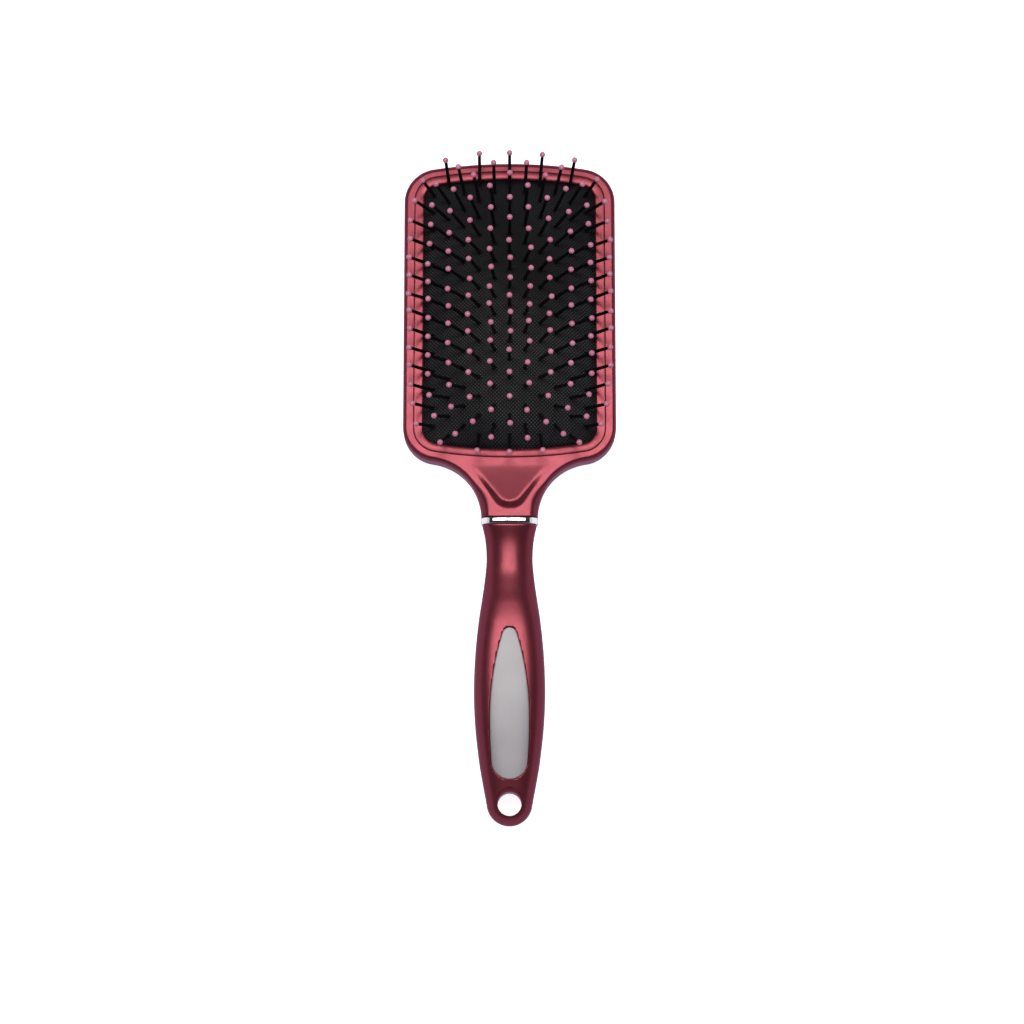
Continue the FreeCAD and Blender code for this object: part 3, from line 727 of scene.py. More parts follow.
@dataclass
class Paddle:
    """The lacquered head: flat back, round rim, neck with its facet, and the hollow under the cushion."""

    half_width: float = 39.75
    tip: float = 125.0
    arch: float = 190.0
    corner: float = 13.0
    shoulder: float = 9.8
    neck_half_width: float = 10.55
    neck_end: float = -10.8
    thickness: float = 13.0
    rim_round: float = 1.7
    back_round: float = 5.0
    neck_round: float = 3.8
    neck_top: float = 2.0
    seam: float = 0.10
    ledge: float = 9.6
    back_wall: float = 2.5
    facet_top: float = 8.6
    facet_end: float = -7.9
    facet_half_width: float = 16.0
    facet_end_half_width: float = 3.9
    facet_depth: float = 2.0
    facet_edge: float = 2.9
    facet_ease: float = 0.06
    facet_pinch: float = 2.4
    face_rows: int = 30
    boss_inset: float = 1.6
    boss_length: float = 2.9
    counts: LoopCounts = LoopCounts()
    opening: Arched = Arched(32.1, 51.9, 180.0, 5.5, 66.4)
    frame_width: float = 3.8
    frame_end_width: float = 3.4

    def outline(self) -> list[tuple[Vector, Vector]]:
        """Walks round the paddle in the order of the inner loops.

        Returns:
            The points, each with its inward direction.
        """
        made = self.counts
        head = Arched(self.half_width, self.tip, self.arch, self.corner, 0.0)
        arch, corner, lean = head.quarter()
        low = Vector((self.half_width - self.corner, self.shoulder + self.corner, 0))
        run, drop = low.x - self.neck_half_width, low.y - self.neck_end
        flare = (run ** 2 + drop ** 2 - self.corner ** 2) / (2 * (self.corner + run))
        centre = Vector((self.neck_half_width + flare, self.neck_end, 0))
        fall = math.degrees(math.atan2(low.y - centre.y, centre.x - low.x))
        flip = Vector((-1, 1, 1))

        def swept(middle: Vector, radius: float, angles: list[float],
                  side: int) -> list[tuple[Vector, Vector]]:
            """An arc's points; side is -1 where its centre is inside the paddle and 1 where it is outside."""
            return [(polar(middle, radius, a), polar(Vector(), 1, a) * side) for a in angles]

        up = steps(low.y, corner.y, made.side)
        loop = [(Vector((self.half_width, y, 0)), Vector((-1, 0, 0))) for y in up]
        loop += swept(corner, self.corner, steps(0, lean, made.corner), -1)
        loop += swept(arch, self.arch, steps(lean, 180 - lean, made.top), -1)
        loop += swept(corner * flip, self.corner, steps(180 - lean, 180, made.corner), -1)
        down = steps(corner.y, low.y, made.side)
        loop += [(Vector((-self.half_width, y, 0)), Vector((1, 0, 0))) for y in down]
        loop += swept(low * flip, self.corner, steps(180, 180 + fall, made.shoulder), -1)
        loop += swept(centre * flip, flare, steps(fall, 0, made.flare), 1)
        across = steps(-self.neck_half_width, self.neck_half_width, made.neck)
        loop += [(Vector((x, self.neck_end, 0)), Vector((-x / self.neck_half_width, 0, 0))) for x in across]
        loop += swept(centre, flare, steps(180, 180 - fall, made.flare), 1)
        loop += swept(low, self.corner, steps(360 - fall, 360, made.shoulder), -1)
        return loop

    def neckness(self, y: float) -> float:
        """How much of a neck the section is: 0 on the head and 1 at the neck's end."""
        return smooth_step((self.neck_top - y) / (self.neck_top - self.neck_end - 4))

    def ring(self, back: bool, turn: float) -> Loop:
        """One loop of the round rim.

        Args:
            back: whether it is on the back round or the front one.
            turn: 0 where the round meets the side, 1 where it meets the face.

        Returns:
            The loop's points.
        """
        points = []
        across, along = 1 - math.cos(turn * math.pi / 2), math.sin(turn * math.pi / 2)
        for point, inward in self.outline():
            share = self.neckness(point.y)
            head_round = self.back_round if back else self.rim_round
            radius = head_round + (self.neck_round - head_round) * share
            rise = radius * (1 - along)
            height = rise if back else self.thickness - rise
            points.append(point + inward * radius * across + Vector((0, 0, height)))
        return points

    def face_height(self, x: float, y: float) -> float:
        """Height of the face, which is level but for the facet that slopes into the neck.

        Args:
            x: place across the brush.
            y: place along it.

        Returns:
            The height.
        """
        share = (self.facet_top - y) / (self.facet_top - self.facet_end)
        if share <= 0:
            return self.thickness
        reach = self.facet_half_width + (self.facet_end_half_width - self.facet_half_width) * share
        lean = (self.facet_half_width - self.facet_end_half_width) / (self.facet_top - self.facet_end)
        side = (reach - abs(x)) / math.hypot(1, lean)
        end = y - self.facet_end
        pinch = self.facet_pinch
        nearest = min(side, end) - max(pinch - abs(side - end), 0) ** 2 / (4 * pinch)
        inside = smooth_step(nearest / self.facet_edge)
        return self.thickness - self.facet_depth * share ** 2 / (share + self.facet_ease) * inside

    def build(self) -> bmesh.types.BMesh:
        """Builds the closed shell.

        Returns:
            The mesh, in millimetres.
        """
        back = [self.ring(True, turn) for turn in (1, 0.88, 0.75, 0.62, 0.5, 0.38, 0.25, 0.12, 0)]
        front = [self.ring(False, turn) for turn in (0, 0.1, 0.2, 0.3, 0.4, 0.5, 0.6, 0.7, 0.8, 0.9, 1)]
        flat = [point + inward * (self.back_round + 1.5) for point, inward in self.outline()]
        skin = Skin(flat)
        for loop in back + front:
            skin.grow(loop)
        past = 2 * self.seam / 3
        seat = self.opening.grown(self.frame_width + past, self.frame_end_width + past)
        last, target = front[-1], seat.loop(self.counts, self.thickness)
        for row in range(1, self.face_rows + 1):
            share = row / self.face_rows
            between = [a.lerp(b, share) for a, b in zip(last, target)]
            skin.grow([Vector((p.x, p.y, self.face_height(p.x, p.y))) for p in between])
        wall = self.opening.grown(self.frame_width, self.frame_end_width)
        skin.grow(wall.grown(0.05, 0.05).loop(self.counts, self.thickness - 0.05))
        skin.grow(wall.loop(self.counts, self.thickness - self.seam))
        skin.grow(wall.loop(self.counts, self.ledge))
        skin.grow(self.opening.loop(self.counts, self.ledge))
        skin.grow(self.opening.loop(self.counts, self.back_wall + 1))
        skin.grow(self.opening.grown(-1, -1).loop(self.counts, self.back_wall))
        skin.grow(self.opening.grown(-3, -3).loop(self.counts, self.back_wall))
        bm = skin.close()
        self.add_boss(bm)
        return bm

    def add_boss(self, bm: bmesh.types.BMesh) -> None:
        """Adds the plug that carries the ring, behind the neck's end.

        Args:
            bm: the shell's mesh.
        """
        section = Section(self.neck_half_width - self.boss_inset, self.boss_inset,
                          self.thickness - self.boss_inset, self.neck_round - self.boss_inset)
        plug = Skin(section.loop(self.neck_end + 0.5))
        plug.grow(section.loop(self.neck_end - self.boss_length))
        merge(bm, plug.close())


@dataclass(frozen=True)
class Section:
    """A rounded rectangle across the neck, upright in the XZ plane."""

    half_width: float
    low: float
    high: float
    round: float

    def loop(self, y: float, per_corner: int = 14) -> Loop:
        """Walks round the section.

        Args:
            y: its place along the brush.
            per_corner: how many steps each corner has.

        Returns:
            The points.
        """
        radius = self.round
        x = self.half_width - radius
        top, bottom = self.high - radius, self.low + radius
        points = []
        for centre_x, centre_z, start in ((x, top, 0), (-x, top, 90), (-x, bottom, 180), (x, bottom, 270)):
            for step in range(per_corner + 1):
                turn = math.radians(start + 90 * step / per_corner)
                across, up = radius * math.cos(turn), radius * math.sin(turn)
                points.append(Vector((centre_x + across, y, centre_z + up)))
        return points


def merge(bm: bmesh.types.BMesh, other: bmesh.types.BMesh) -> None:
    """Adds one mesh to another.

    Args:
        bm: the mesh that grows.
        other: the mesh that is added, which is freed.
    """
    mesh = bpy.data.meshes.new("merge")
    other.to_mesh(mesh)
    other.free()
    bm.from_mesh(mesh)
    bpy.data.meshes.remove(mesh)


@dataclass
class PadFrame:
    """The frame that snaps into the paddle's face and holds the rubber."""

    paddle: Paddle
    gap: float = 0.07
    lip: float = 12.0
    crown: float = 0.06
    reach: float = 2.1
    edge: float = 0.8

    def build(self) -> bmesh.types.BMesh:
        """Builds the frame as loops round its section.

        Returns:
            The mesh, in millimetres.
        """
        paddle = self.paddle
        side, end = paddle.frame_width - self.gap, paddle.frame_end_width - self.gap
        top, foot = paddle.thickness, paddle.ledge + 0.05
        section = [(1.0, foot), (1.0, top - 0.26), (0.985, top - 0.1), (0.94, top - 0.02)]
        section += [(0.85, top + 0.5 * self.crown), (0.6, top + self.crown), (0.4, top + 0.7 * self.crown)]
        corner = self.edge / side
        for step in range(1, 8):
            turn = math.radians(90 * step / 7)
            section.append((corner * (1 - math.sin(turn)), top - self.edge * (1 - math.cos(turn))))
        section += [(0.0, self.lip), (self.reach / side, self.lip), (self.reach / side, foot)]
        loops = [paddle.opening.grown(side * share, end * share).loop(paddle.counts, z)
                 for share, z in section]
        skin = Skin(loops[0])
        for loop in loops[1:]:
            skin.grow(loop)
        return skin.join_ends()


# ---------------------------------------------------------------- cushion, pins and tips


@dataclass
class Cushion:
    """The domed air cushion of woven-look rubber and the pins set in it."""

    paddle: Paddle
    flange_top: float = 11.4
    rise: float = 9.95
    half_width: float = 31.8
    half_length: float = 51.6
    side_power: float = 2.2
    end_power: float = 4.4
    thickness: float = 1.6
    edge_gap: float = 0.3
    flange: float = 1.7
    vent: Vector = Vector((0, -31.3, 0))
    side_columns: int = 5
    column_pitch: float = 5.665
    row_pitch: float = 6.852
    long_column: int = 15
    offset: float = 1.0
    splay: float = 1.26
    reach: float = 14.9
    root_radius: float = 0.68
    end_radius: float = 0.60
    ball_radius: float = 1.08
    boss_radius: float = 1.0
    boss_rise: float = 0.42
    wander: float = 1.1
    rings: int = 46
    free_above: float = 15.5

    def height(self, x: float, y: float) -> float:
        """Height of the dome.

        Args:
            x: place across the pad, from its middle.
            y: place along it, from its middle.

        Returns:
            The height.
        """
        across = 1 - min(abs(x) / self.half_width, 1) ** self.side_power
        along = 1 - min(abs(y) / self.half_length, 1) ** self.end_power
        return self.flange_top + self.rise * across * along

    def domed(self, loop: Loop, below: float = 0.0) -> Loop:
        """Lays a flat loop on the dome, or under it."""
        middle = self.paddle.opening.middle
        return [Vector((p.x, p.y, self.height(p.x, p.y - middle) - below)) for p in loop]

    def build_pad(self) -> bmesh.types.BMesh:
        """Builds the rubber: dome, flange and underside, then a boss for each pin and the vent's lip.

        Returns:
            The mesh, in millimetres.
        """
        counts, edge = self.paddle.counts, self.paddle.opening.grown(-self.edge_gap, -self.edge_gap)
        shares = [0.01 + 0.99 * ring / self.rings for ring in range(self.rings + 1)]
        skin = Skin(self.domed(edge.loop(counts, 0, shares[0])))
        for share in shares[1:]:
            skin.grow(self.domed(edge.loop(counts, 0, share)))
        brim, foot = self.flange_top, self.flange_top - self.thickness
        for grow, z in ((0.35, brim), (self.flange, brim), (self.flange, foot), (-self.thickness, foot)):
            skin.grow(edge.grown(grow, grow).loop(counts, z))
        inner = edge.grown(-self.thickness, -self.thickness)
        for share in shares[:0:-3]:
            skin.grow(self.domed(inner.loop(counts, 0, share * 0.99), self.thickness))
        bm = skin.close()
        bosses = [self.pin_place(x, y, 0) for column in self.columns() for x, y in column]
        rise, radius = self.boss_rise, self.boss_radius
        profile = [(0, rise), (0.72 * radius, rise), (0.88 * radius, 0.86 * rise),
                   (0.97 * radius, 0.5 * rise), (1.02 * radius, 0.1 * rise),
                   (1.2 * radius, -0.12), (1.0 * radius, -0.6), (0, -0.6)]
        merge(bm, scatter(turned(profile, 14), bosses))
        lip = [(0, 0.05), (0.62, 0.05), (0.75, 0.22), (1.0, 0.26), (1.2, 0.12), (1.35, -0.15), (0, -0.5)]
        merge(bm, scatter(turned(lip, 20), [self.pin_place(self.vent.x, self.vent.y, 0)]))
        return bm

    def columns(self) -> list[list[tuple[float, float]]]:
        """Finds the pin places.

        Returns:
            The places from the pad's middle, column by column from left to right.
        """
        columns = []
        for number in range(-self.side_columns, self.side_columns + 1):
            count = self.long_column - number % 2
            rows = [self.offset + self.row_pitch * (step - (count - 1) / 2) for step in range(count)]
            columns.append([(number * self.column_pitch, y) for y in rows])
        return columns

    def pin_place(self, x: float, y: float, wander: float, chance: random.Random | None = None) -> Matrix:
        """Where a pin stands: its root on the dome and its own Z axis along it.

        Args:
            x: place across the pad.
            y: place along it, from its middle.
            wander: how far the pin strays from its true direction, in degrees.
            chance: the source of that stray.

        Returns:
            The placement.
        """
        step = 0.01
        slope_x = (self.height(x + step, y) - self.height(x - step, y)) / (2 * step)
        slope_y = (self.height(x, y + step) - self.height(x, y - step)) / (2 * step)
        out = Vector((-self.splay * slope_x, -self.splay * slope_y, 1)).normalized()
        if chance is not None:
            stray = math.tan(math.radians(wander))
            out = (out + Vector((chance.gauss(0, stray), chance.gauss(0, stray), 0))).normalized()
        root = Vector((x, self.paddle.opening.middle + y, self.height(x, y)))
        turn = Vector((0, 0, 1)).rotation_difference(out)
        return Matrix.Translation(root) @ turn.to_matrix().to_4x4()

    def build_pins(self, number: int) -> tuple[bmesh.types.BMesh, bmesh.types.BMesh]:
        """Builds one column's shafts and its tips.

        Args:
            number: the column, counted from 0 at the left.

        Returns:
            The meshes of the shafts and of the tips.
        """
        chance = random.Random(40 + number)
        places = [self.pin_place(x, y, self.wander, chance) for x, y in self.columns()[number]]
        root, end, top = self.root_radius, self.end_radius, self.reach
        shaft = [(0, -1.2), (root, -1.2), (root, 0), (1.12 * root, 0.12), (1.12 * root, 0.5), (root, 0.9),
                 (end, top - 1.2), (end, top), (0, top)]
        drop, turns = self.ball_radius, [math.radians(a) for a in range(-90, 91, 18)]
        ball = [(math.cos(turn) * drop, top + math.sin(turn) * drop) for turn in turns]
        ball[0], ball[-1] = (0, top - 1.02 * drop), (0, top + drop)
        return scatter(turned(shaft, 12), places), scatter(turned(ball, 16), places)


# ---------------------------------------------------------------- ring, handle and plate


@dataclass
class Ring:
    """The chrome ring between neck and handle, slightly crowned all round."""

    half_width: float = 10.5
    low: float = 0.35
    high: float = 12.95
    square: float = 3.0
    front: float = -10.98
    back: float = -13.56
    wall: float = 1.45
    edge: float = 0.32
    belly: float = 0.07
    around: int = 120

    def loop(self, y: float, inset: float) -> Loop:
        """Points round the ring at a place along the brush, pulled in by an inset."""
        wide, tall = self.half_width - inset, (self.high - self.low) / 2 - inset
        return squared_round(y, wide, tall, (self.high + self.low) / 2, self.square, self.around)

    def build(self) -> bmesh.types.BMesh:
        """Builds the ring as loops from its front face round to its back face.

        Returns:
            The mesh, in millimetres.
        """
        edge, belly = self.edge, self.belly
        outer = [(self.wall, 0.0), (edge, 0.0), (0.4 * edge, 0.12 * edge), (0.12 * edge, 0.4 * edge),
                 (0.0, edge)]
        length = self.front - self.back
        middle = [(-belly * math.sin(math.pi * share), share * length)
                  for share in (0.25, 0.4, 0.5, 0.6, 0.75)]
        mirrored = [(inset, length - depth) for inset, depth in reversed(outer)]
        profile = outer + middle + mirrored
        skin = Skin(self.loop(self.front, profile[0][0]))
        for inset, depth in profile[1:]:
            skin.grow(self.loop(self.front - depth, inset))
        return skin.join_ends()


@dataclass(frozen=True)
class Station:
    """The handle's section at one place: how wide, how high in front and behind, how square."""

    at: float
    half_width: float
    front: float
    back: float
    square: float = 2.1


@dataclass
class Handle:
    """The swelling lacquered handle, its hang hole and the recess for its plate."""

    mouth: float = -13.74
    end_centre: float = -116.6
    end_radius: float = 8.4
    hole_at: float = -117.1
    hole_radius: float = 4.35
    hole_lip: float = 0.55
    stations: tuple[Station, ...] = (
        Station(-13.0, 10.3, 12.75, 0.5, 2.8),
        Station(-19.2, 9.02, 11.7, 1.2, 1.9),
        Station(-26.0, 8.54, 11.4, 1.6, 1.75),
        Station(-31.5, 8.9, 11.6, 1.7, 1.8),
        Station(-37.3, 9.6, 12.6, 1.5, 1.95),
        Station(-43.5, 10.52, 13.9, 1.2, 2.2),
        Station(-50.7, 11.54, 14.9, 0.8, 2.45),
        Station(-62.0, 12.63, 15.65, 0.3, 2.7),
        Station(-75.2, 13.13, 16.2, 0.0, 2.7),
        Station(-88.5, 12.62, 16.0, 0.2, 2.65),
        Station(-101.9, 11.13, 15.1, 0.8, 2.5),
        Station(-110.0, 9.75, 14.2, 1.4, 2.4),
        Station(-117.5, 8.4, 13.3, 1.9, 2.3),
        Station(-127.0, 7.6, 12.1, 2.4, 2.3),
    )
    around: int = 96

    def size_at(self, y: float, field: str) -> float:
        """Reads a size off a smooth curve through the stations.

        Args:
            y: place along the brush.
            field: the size's name in a station.

        Returns:
            The size there.
        """
        at = [station.at for station in self.stations]
        values = [getattr(station, field) for station in self.stations]
        first = max(i for i in range(len(at) - 1) if at[i] >= y or i == 0)

        def slope(i: int) -> float:
            """The curve's slope at a station."""
            low, high = max(i - 1, 0), min(i + 1, len(at) - 1)
            return (values[high] - values[low]) / (at[high] - at[low])

        span = at[first + 1] - at[first]
        t = (y - at[first]) / span
        a, b = values[first], values[first + 1]
        m, n = slope(first) * span, slope(first + 1) * span
        return ((2 * t ** 3 - 3 * t ** 2 + 1) * a + (t ** 3 - 2 * t ** 2 + t) * m
                + (3 * t ** 2 - 2 * t ** 3) * b + (t ** 3 - t ** 2) * n)

    def section(self, y: float) -> tuple[float, float, float, float]:
        """Finds the section at a place.

        Args:
            y: place along the brush.

        Returns:
            Its half width, half height, middle height and squareness.
        """
        wide = self.size_at(y, "half_width")
        front, back = self.size_at(y, "front"), self.size_at(y, "back")
        tall = (front - back) / 2
        past = min(max((self.end_centre - y) / self.end_radius, 0.0), 1.0)
        if past > 0:
            wide = self.end_radius * math.sqrt(1 - past ** 2)
            tall *= (1 - past ** 3.2) ** 0.5
        return wide, tall, (front + back) / 2, self.size_at(y, "square")

    def loop(self, y: float, share: float = 1.0) -> Loop:
        """Points round the section at a place, for a part of its full size."""
        wide, tall, middle, square = self.section(y)
        return squared_round(y, wide * share, tall * share, middle, square, self.around)

    def front_at(self, x: float, y: float) -> float:
        """Height of the handle's front at a place."""
        wide, tall, middle, square = self.section(y)
        return middle + tall * (1 - min(abs(x) / wide, 1) ** square) ** (1 / square)

    def build(self) -> bmesh.types.BMesh:
        """Builds the handle before its hole and recess are cut.

        Returns:
            The mesh, in millimetres.
        """
        skin = Skin(self.loop(self.mouth, 0.8))
        for depth, share in ((0, 0.955), (0.08, 0.985), (0.3, 1.0)):
            skin.grow(self.loop(self.mouth - depth, share))
        for y in steps(self.mouth - 1, self.end_centre, 128):
            skin.grow(self.loop(y))
        for turn in steps(0, 88.5, 26):
            skin.grow(self.loop(self.end_centre - self.end_radius * math.sin(math.radians(turn))))
        skin.grow(self.loop(self.end_centre - self.end_radius * 0.9999))
        return skin.close()

    def hole_cutter(self) -> bmesh.types.BMesh:
        """Builds the trumpet-mouthed shape that cuts the hang hole.

        Returns:
            The mesh, in millimetres.
        """
        _, tall, middle, _ = self.section(self.hole_at)
        front, back, radius = middle + tall, middle - tall, self.hole_radius
        lip = self.hole_lip
        curve = [(radius + lip * (1 - math.cos(math.radians(a))), lip * math.sin(math.radians(a)))
                 for a in (0, 15, 30, 45, 60, 75)]
        upper = [(r, front - 0.35 - lip + rise) for r, rise in curve]
        lower = [(r, back + 0.35 + lip - rise) for r, rise in reversed(curve)]
        wide = radius + 3 * lip
        profile = [(0, back - 5), (wide + 3, back - 5), *lower, *upper, (wide + 3, front + 5), (0, front + 5)]
        bm = turned(profile, 96)
        bmesh.ops.translate(bm, verts=bm.verts, vec=(0, self.hole_at, 0))
        return bm


@dataclass
class Plate:
    """The plain satin plate let into the handle's front, and its glue."""

    handle: Handle
    tip: float = -52.8
    length: float = 55.5
    half_width: float = 7.15
    tip_radius: float = 2.6
    end_radius: float = 6.5
    widest: float = 33.0
    thickness: float = 0.8
    glue: float = 0.2
    gap: float = 0.24
    bevel: float = 0.22
    cutter_top: float = 6.0
    film_inset: float = 0.5

    def outline(self, grow: float) -> Loop:
        """Walks round the teardrop.

        Args:
            grow: how far it is moved outwards.

        Returns:
            The points.
        """
        tip_radius, end_radius = self.tip_radius + grow, self.end_radius + grow
        side, at = self.half_width + grow, self.tip - self.widest
        top = Vector((0, self.tip - self.tip_radius, 0))
        end = Vector((0, self.tip - self.length + self.end_radius, 0))

        def flank(centre: Vector, radius: float) -> tuple[Vector, float, float]:
            """Finds the side arc that runs into a round end.

            Args:
                centre: the round end's centre.
                radius: its radius.

            Returns:
                The arc's centre, its radius and the direction in degrees where it ends.
            """
            run = centre.y - at
            reach = (side ** 2 + run ** 2 - radius ** 2) / (2 * (side - radius))
            middle = Vector((side - reach, at, 0))
            way = centre - middle
            return middle, reach, math.degrees(math.atan2(way.y, way.x))

        upper, upper_radius, rise = flank(top, tip_radius)
        lower, lower_radius, fall = flank(end, end_radius)
        flip = Vector((-1, 1, 1))
        loop = [polar(upper, upper_radius, a) for a in steps(0, rise, 26)]
        loop += [polar(top, tip_radius, a) for a in steps(rise, 180 - rise, 22)]
        loop += [polar(upper * flip, upper_radius, a) for a in steps(180 - rise, 180, 26)]
        loop += [polar(lower * flip, lower_radius, a) for a in steps(180, 180 - fall, 20)]
        loop += [polar(end, end_radius, a) for a in steps(180 - fall, 360 + fall, 30)]
        loop += [polar(lower, lower_radius, a) for a in steps(fall, 0, 20)]
        return loop

    def laid(self, grow: float, share: float, above: float) -> Loop:
        """Lays the outline on the handle.

        Args:
            grow: how far the outline is moved outwards.
            share: how much of the way from the plate's spine to the outline the loop lies.
            above: its height over the handle's front.

        Returns:
            The points.
        """
        spine_low = self.tip - self.length + self.end_radius
        points = []
        for point in self.outline(grow):
            spine = Vector((0, min(max(point.y, spine_low), self.tip - self.tip_radius), 0))
            x, y, _ = spine.lerp(point, share)
            points.append(Vector((x, y, self.handle.front_at(x, y) + above)))
        return points

    def slab(self, grow: float, low: float, high: float, bevel: float = 0.0) -> bmesh.types.BMesh:
        """Builds a slab between two heights over the handle's front.

        Args:
            grow: how far its outline is moved outwards.
            low: its underside over the handle's surface.
            high: its upper side over that surface.
            bevel: how much its upper edge is rounded.

        Returns:
            The mesh, in millimetres.
        """
        shares = (0.0, 0.12, 0.24, 0.36, 0.48, 0.6, 0.7, 0.8, 0.88, 0.94)
        skin = Skin(self.laid(grow - bevel, shares[0], high))
        for share in shares[1:]:
            skin.grow(self.laid(grow - bevel, share, high))
        skin.grow(self.laid(grow - bevel, 1.0, high))
        if bevel:
            skin.grow(self.laid(grow - 0.55 * bevel, 1.0, high - 0.12 * bevel))
            skin.grow(self.laid(grow - 0.15 * bevel, 1.0, high - 0.5 * bevel))
            skin.grow(self.laid(grow, 1.0, high - bevel))
        skin.grow(self.laid(grow, 1.0, low))
        for share in reversed(shares):
            skin.grow(self.laid(grow, share, low))
        return skin.stitch()


# ---------------------------------------------------------------- the brush


class Brush:
    """The whole brush: its sub-assemblies, their finishes and the frame nodes that they stand for."""

    def __init__(self) -> None:
        """Gathers the sub-assemblies and makes the finishes."""
        self.paddle = Paddle()
        self.handle = Handle()
        self.lacquer = Lacquer().material()
        self.rubber = WovenRubber().material()
        self.nylon = Nylon().material()
        self.tip = DippedTip().material()
        self.chrome = Chrome().material()
        self.metal = SatinMetal().material()
        self.glue = Glue().material()

    def build(self) -> None:
        """Builds every piece."""
        self.build_head()
        self.build_cushion()
        self.build_handle()

    def build_head(self) -> None:
        """Builds the paddle shell and the frame round the cushion."""
        shell = new_piece(self.paddle.build(), "paddle_shell")
        dress(shell, self.lacquer, Body.BRUSH.value)
        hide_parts("head_shell")
        frame = new_piece(PadFrame(self.paddle).build(), "pad_frame")
        dress(frame, self.lacquer, Body.BRUSH.value)
        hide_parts("cushion_frame")

    def build_cushion(self) -> None:
        """Builds the rubber pad and, column by column, the pins and their tips."""
        cushion = Cushion(self.paddle)
        pad = new_piece(cushion.build_pad(), "air_cushion")
        pad.data.materials.append(self.rubber)
        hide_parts("cushion_pad")
        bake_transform(pad)
        LOG.info("%s: %d faces, bends between body and cushion", pad.name, len(pad.data.polygons))
        for index in range(len(cushion.columns())):
            number = f"{index + 1:02d}"
            pins, tips = cushion.build_pins(index)
            shafts = new_piece(pins, f"pins_column_{number}")
            dress(shafts, self.nylon, f"pins_{number}")
            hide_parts(f"pin_column_{number}")
            balls = new_piece(tips, f"tips_column_{number}", sharp=60)
            dress(balls, self.tip, f"pins_{number}")
            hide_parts(f"tip_column_{number}")

    def build_handle(self) -> None:
        """Builds the ring, the handle with its hole and recess, the plate and the glue under it."""
        ring = new_piece(Ring().build(), "chrome_ring")
        dress(ring, self.chrome, Body.BRUSH.value)
        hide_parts("collar_ring")
        plate = Plate(self.handle)
        grip = new_piece(self.handle.build(), "grip")
        carve(grip, new_piece(self.handle.hole_cutter(), "hole_cutter"))
        depth = plate.thickness + plate.glue
        carve(grip, new_piece(plate.slab(plate.gap, -depth - 0.02, plate.cutter_top), "recess_cutter"))
        dress(grip, self.lacquer, Body.BRUSH.value)
        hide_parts("handle")
        inlay = new_piece(plate.slab(0.0, -plate.thickness, 0.0, plate.bevel), "satin_inlay")
        dress(inlay, self.metal, Body.BRUSH.value)
        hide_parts("inlay_plate")
        film = new_piece(plate.slab(-plate.film_inset, -depth, -plate.thickness - 0.01), "glue_film")
        dress(film, self.glue, Body.BRUSH.value)
        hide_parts("plate_glue")


# ---------------------------------------------------------------- studio


@dataclass(frozen=True)
class Softbox:
    """A rectangular area lamp, as bright all over as its level says."""

    name: str
    place: tuple[float, float, float]
    aim: tuple[float, float, float]
    width: float
    height: float
    level: float
    only: tuple[str, ...] = ()

    def light(self) -> bpy.types.Object:
        """Makes the lamp, which lights only the named pieces if there are any names.

        Returns:
            The lamp.
        """
        data = bpy.data.lights.new(self.name, "AREA")
        data.shape = "RECTANGLE"
        data.size, data.size_y = self.width, self.height
        data.energy = self.level * math.pi * self.width * self.height
        lamp = bpy.data.objects.new(self.name, data)
        lamp.location = self.place
        lamp.rotation_euler = (Vector(self.aim) - Vector(self.place)).to_track_quat("-Z", "Y").to_euler()
        bpy.context.scene.collection.objects.link(lamp)
        if self.only:
            lit = bpy.data.collections.new(f"lit_by_{self.name}")
            for name in self.only:
                lit.objects.link(bpy.data.objects[name])
            lamp.light_linking.receiver_collection = lit
        return lamp


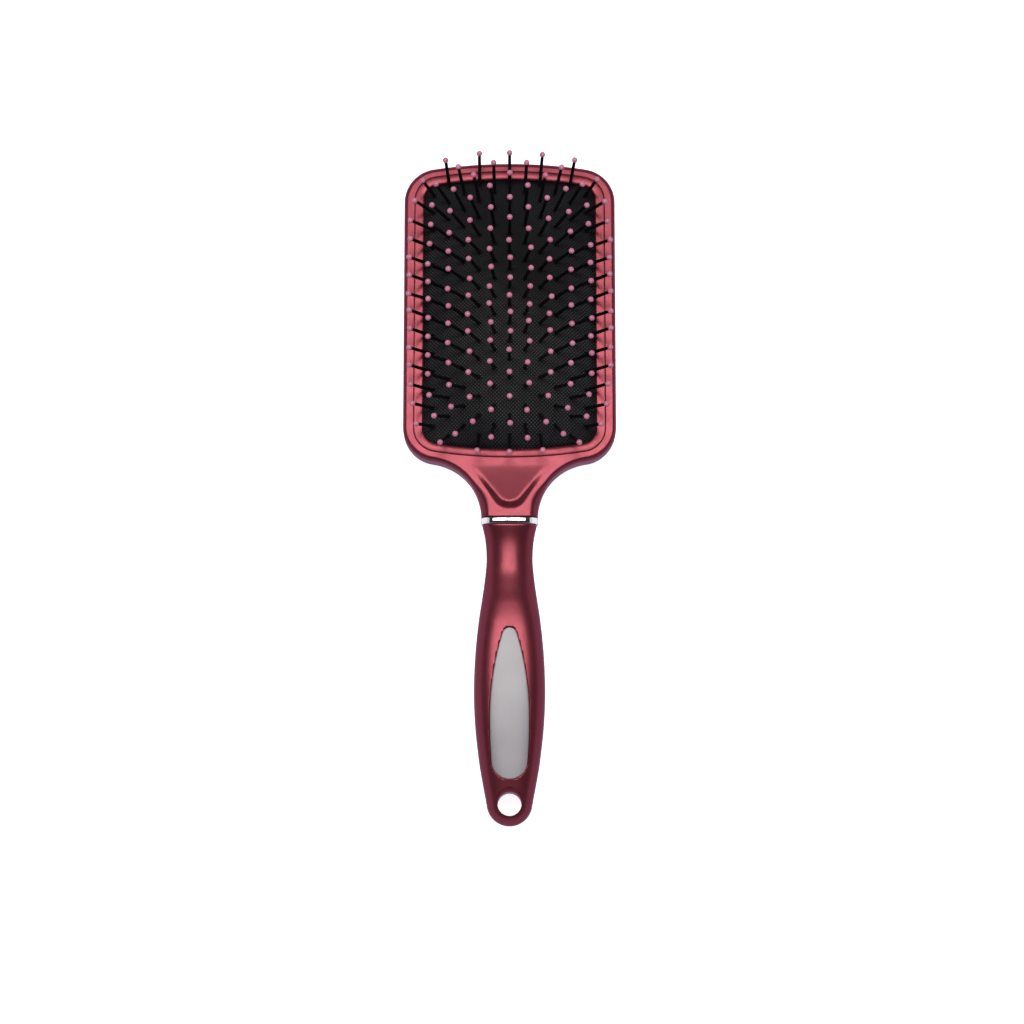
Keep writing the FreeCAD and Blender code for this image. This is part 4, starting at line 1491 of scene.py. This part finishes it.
@dataclass
class Studio:
    """Pale floor, soft light from above, and the camera."""

    camera_at: tuple[float, float, float] = (0.0009, -0.1857, 0.9923)
    camera_aim: tuple[float, float, float] = (0.0009, -0.0095, 0.013)
    lens: float = 94.5
    floor_size: float = 6.0
    horizon_level: float = 0.42
    sky_level: float = 0.05
    floor_drop: float = 0.0002
    horizon_top: float = 0.34
    sky_foot: float = 0.52
    horizon_tint: tuple[float, ...] = (0.80, 0.72, 0.98, 1)
    sky_tint: tuple[float, ...] = (0.8, 0.7, 1.0, 1)
    lamps: tuple[Softbox, ...] = (
        Softbox("floor_wash", (0, 0, 1.6), (0, 0, 0), 3.0, 3.0, 1.45, ("floor",)),
        Softbox("overhead_left", (-0.355, 0.29, 1.3), (-0.355, 0.29, 0), 0.66, 0.40, 3.3),
        Softbox("overhead_right", (0.285, 0.29, 1.3), (0.285, 0.29, 0), 0.58, 0.40, 3.3),
        Softbox("tip_light", (0, 0.15, 1.2), (0, 0.066, 0.03), 0.9, 0.6, 2.6,
                tuple(f"tips_column_{number:02d}" for number in range(1, 12))),
        Softbox("tail_light", (0, -0.38, 1.3), (0, -0.38, 0), 0.9, 0.26, 1.4, ("satin_inlay",)),
        Softbox("ring_left", (-0.8, 0, -0.35), (0, 0, -0.35), 0.9, 2.3, 0.7, ("chrome_ring",)),
        Softbox("ring_right", (0.8, 0, -0.35), (0, 0, -0.35), 0.9, 2.3, 0.7, ("chrome_ring",)),
    )

    def build(self) -> None:
        """Builds the whole studio."""
        self.lay_floor()
        for lamp in self.lamps:
            lamp.light()
        self.set_world()
        self.set_camera()

    def lay_floor(self) -> None:
        """Lays the pale floor just under the brush, where the brush neither mirrors it nor is lit by it."""
        bm = bmesh.new()
        bmesh.ops.create_grid(bm, x_segments=4, y_segments=4, size=self.floor_size / 2)
        mesh = bpy.data.meshes.new("floor")
        bmesh.ops.translate(bm, verts=bm.verts, vec=(0, 0, -self.floor_drop))
        bm.to_mesh(mesh)
        bm.free()
        mesh.materials.append(PaleFloor().material())
        floor = bpy.data.objects.new("floor", mesh)
        bpy.context.scene.collection.objects.link(floor)
        floor.visible_glossy = False
        floor.visible_diffuse = False

    def set_world(self) -> None:
        """Surrounds the brush with a room that is bright at the horizon and dark above it."""
        world = bpy.data.worlds.new("studio")
        world.use_nodes = True
        tree = world.node_tree
        where = tree.nodes.new("ShaderNodeTexCoord")
        split = tree.nodes.new("ShaderNodeSeparateXYZ")
        level = tree.nodes.new("ShaderNodeMapRange")
        level.interpolation_type = "SMOOTHSTEP"
        for name, value in (("From Min", self.horizon_top), ("From Max", self.sky_foot),
                            ("To Min", self.horizon_level), ("To Max", self.sky_level)):
            level.inputs[name].default_value = value
        tree.links.new(where.outputs["Generated"], split.inputs["Vector"])
        tree.links.new(split.outputs["Z"], level.inputs["Value"])
        tint = tree.nodes.new("ShaderNodeMix")
        tint.data_type = "RGBA"
        tint.inputs["A"].default_value = self.sky_tint
        tint.inputs["B"].default_value = self.horizon_tint
        background = tree.nodes["Background"]
        tree.links.new(level.outputs["Result"], tint.inputs["Factor"])
        tree.links.new(tint.outputs["Result"], background.inputs["Color"])
        tree.links.new(level.outputs["Result"], background.inputs["Strength"])
        bpy.context.scene.world = world

    def set_camera(self) -> None:
        """Places the camera over the brush, a little towards the handle."""
        data = bpy.data.cameras.new("camera")
        data.lens = self.lens
        data.sensor_width = 36
        data.clip_start, data.clip_end = 0.01, 20
        camera = bpy.data.objects.new("camera", data)
        camera.location = self.camera_at
        way = Vector(self.camera_aim) - Vector(self.camera_at)
        camera.rotation_euler = way.to_track_quat("-Z", "Y").to_euler()
        bpy.context.scene.collection.objects.link(camera)
        bpy.context.scene.camera = camera
        bpy.context.scene.view_settings.view_transform = "Standard"


def main() -> None:
    """Builds the brush around its frame and lights it."""
    logging.basicConfig(level=logging.INFO, format="%(name)s %(message)s")
    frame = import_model()
    Brush().build()
    Studio().build()


if __name__ == "__main__":
    main()
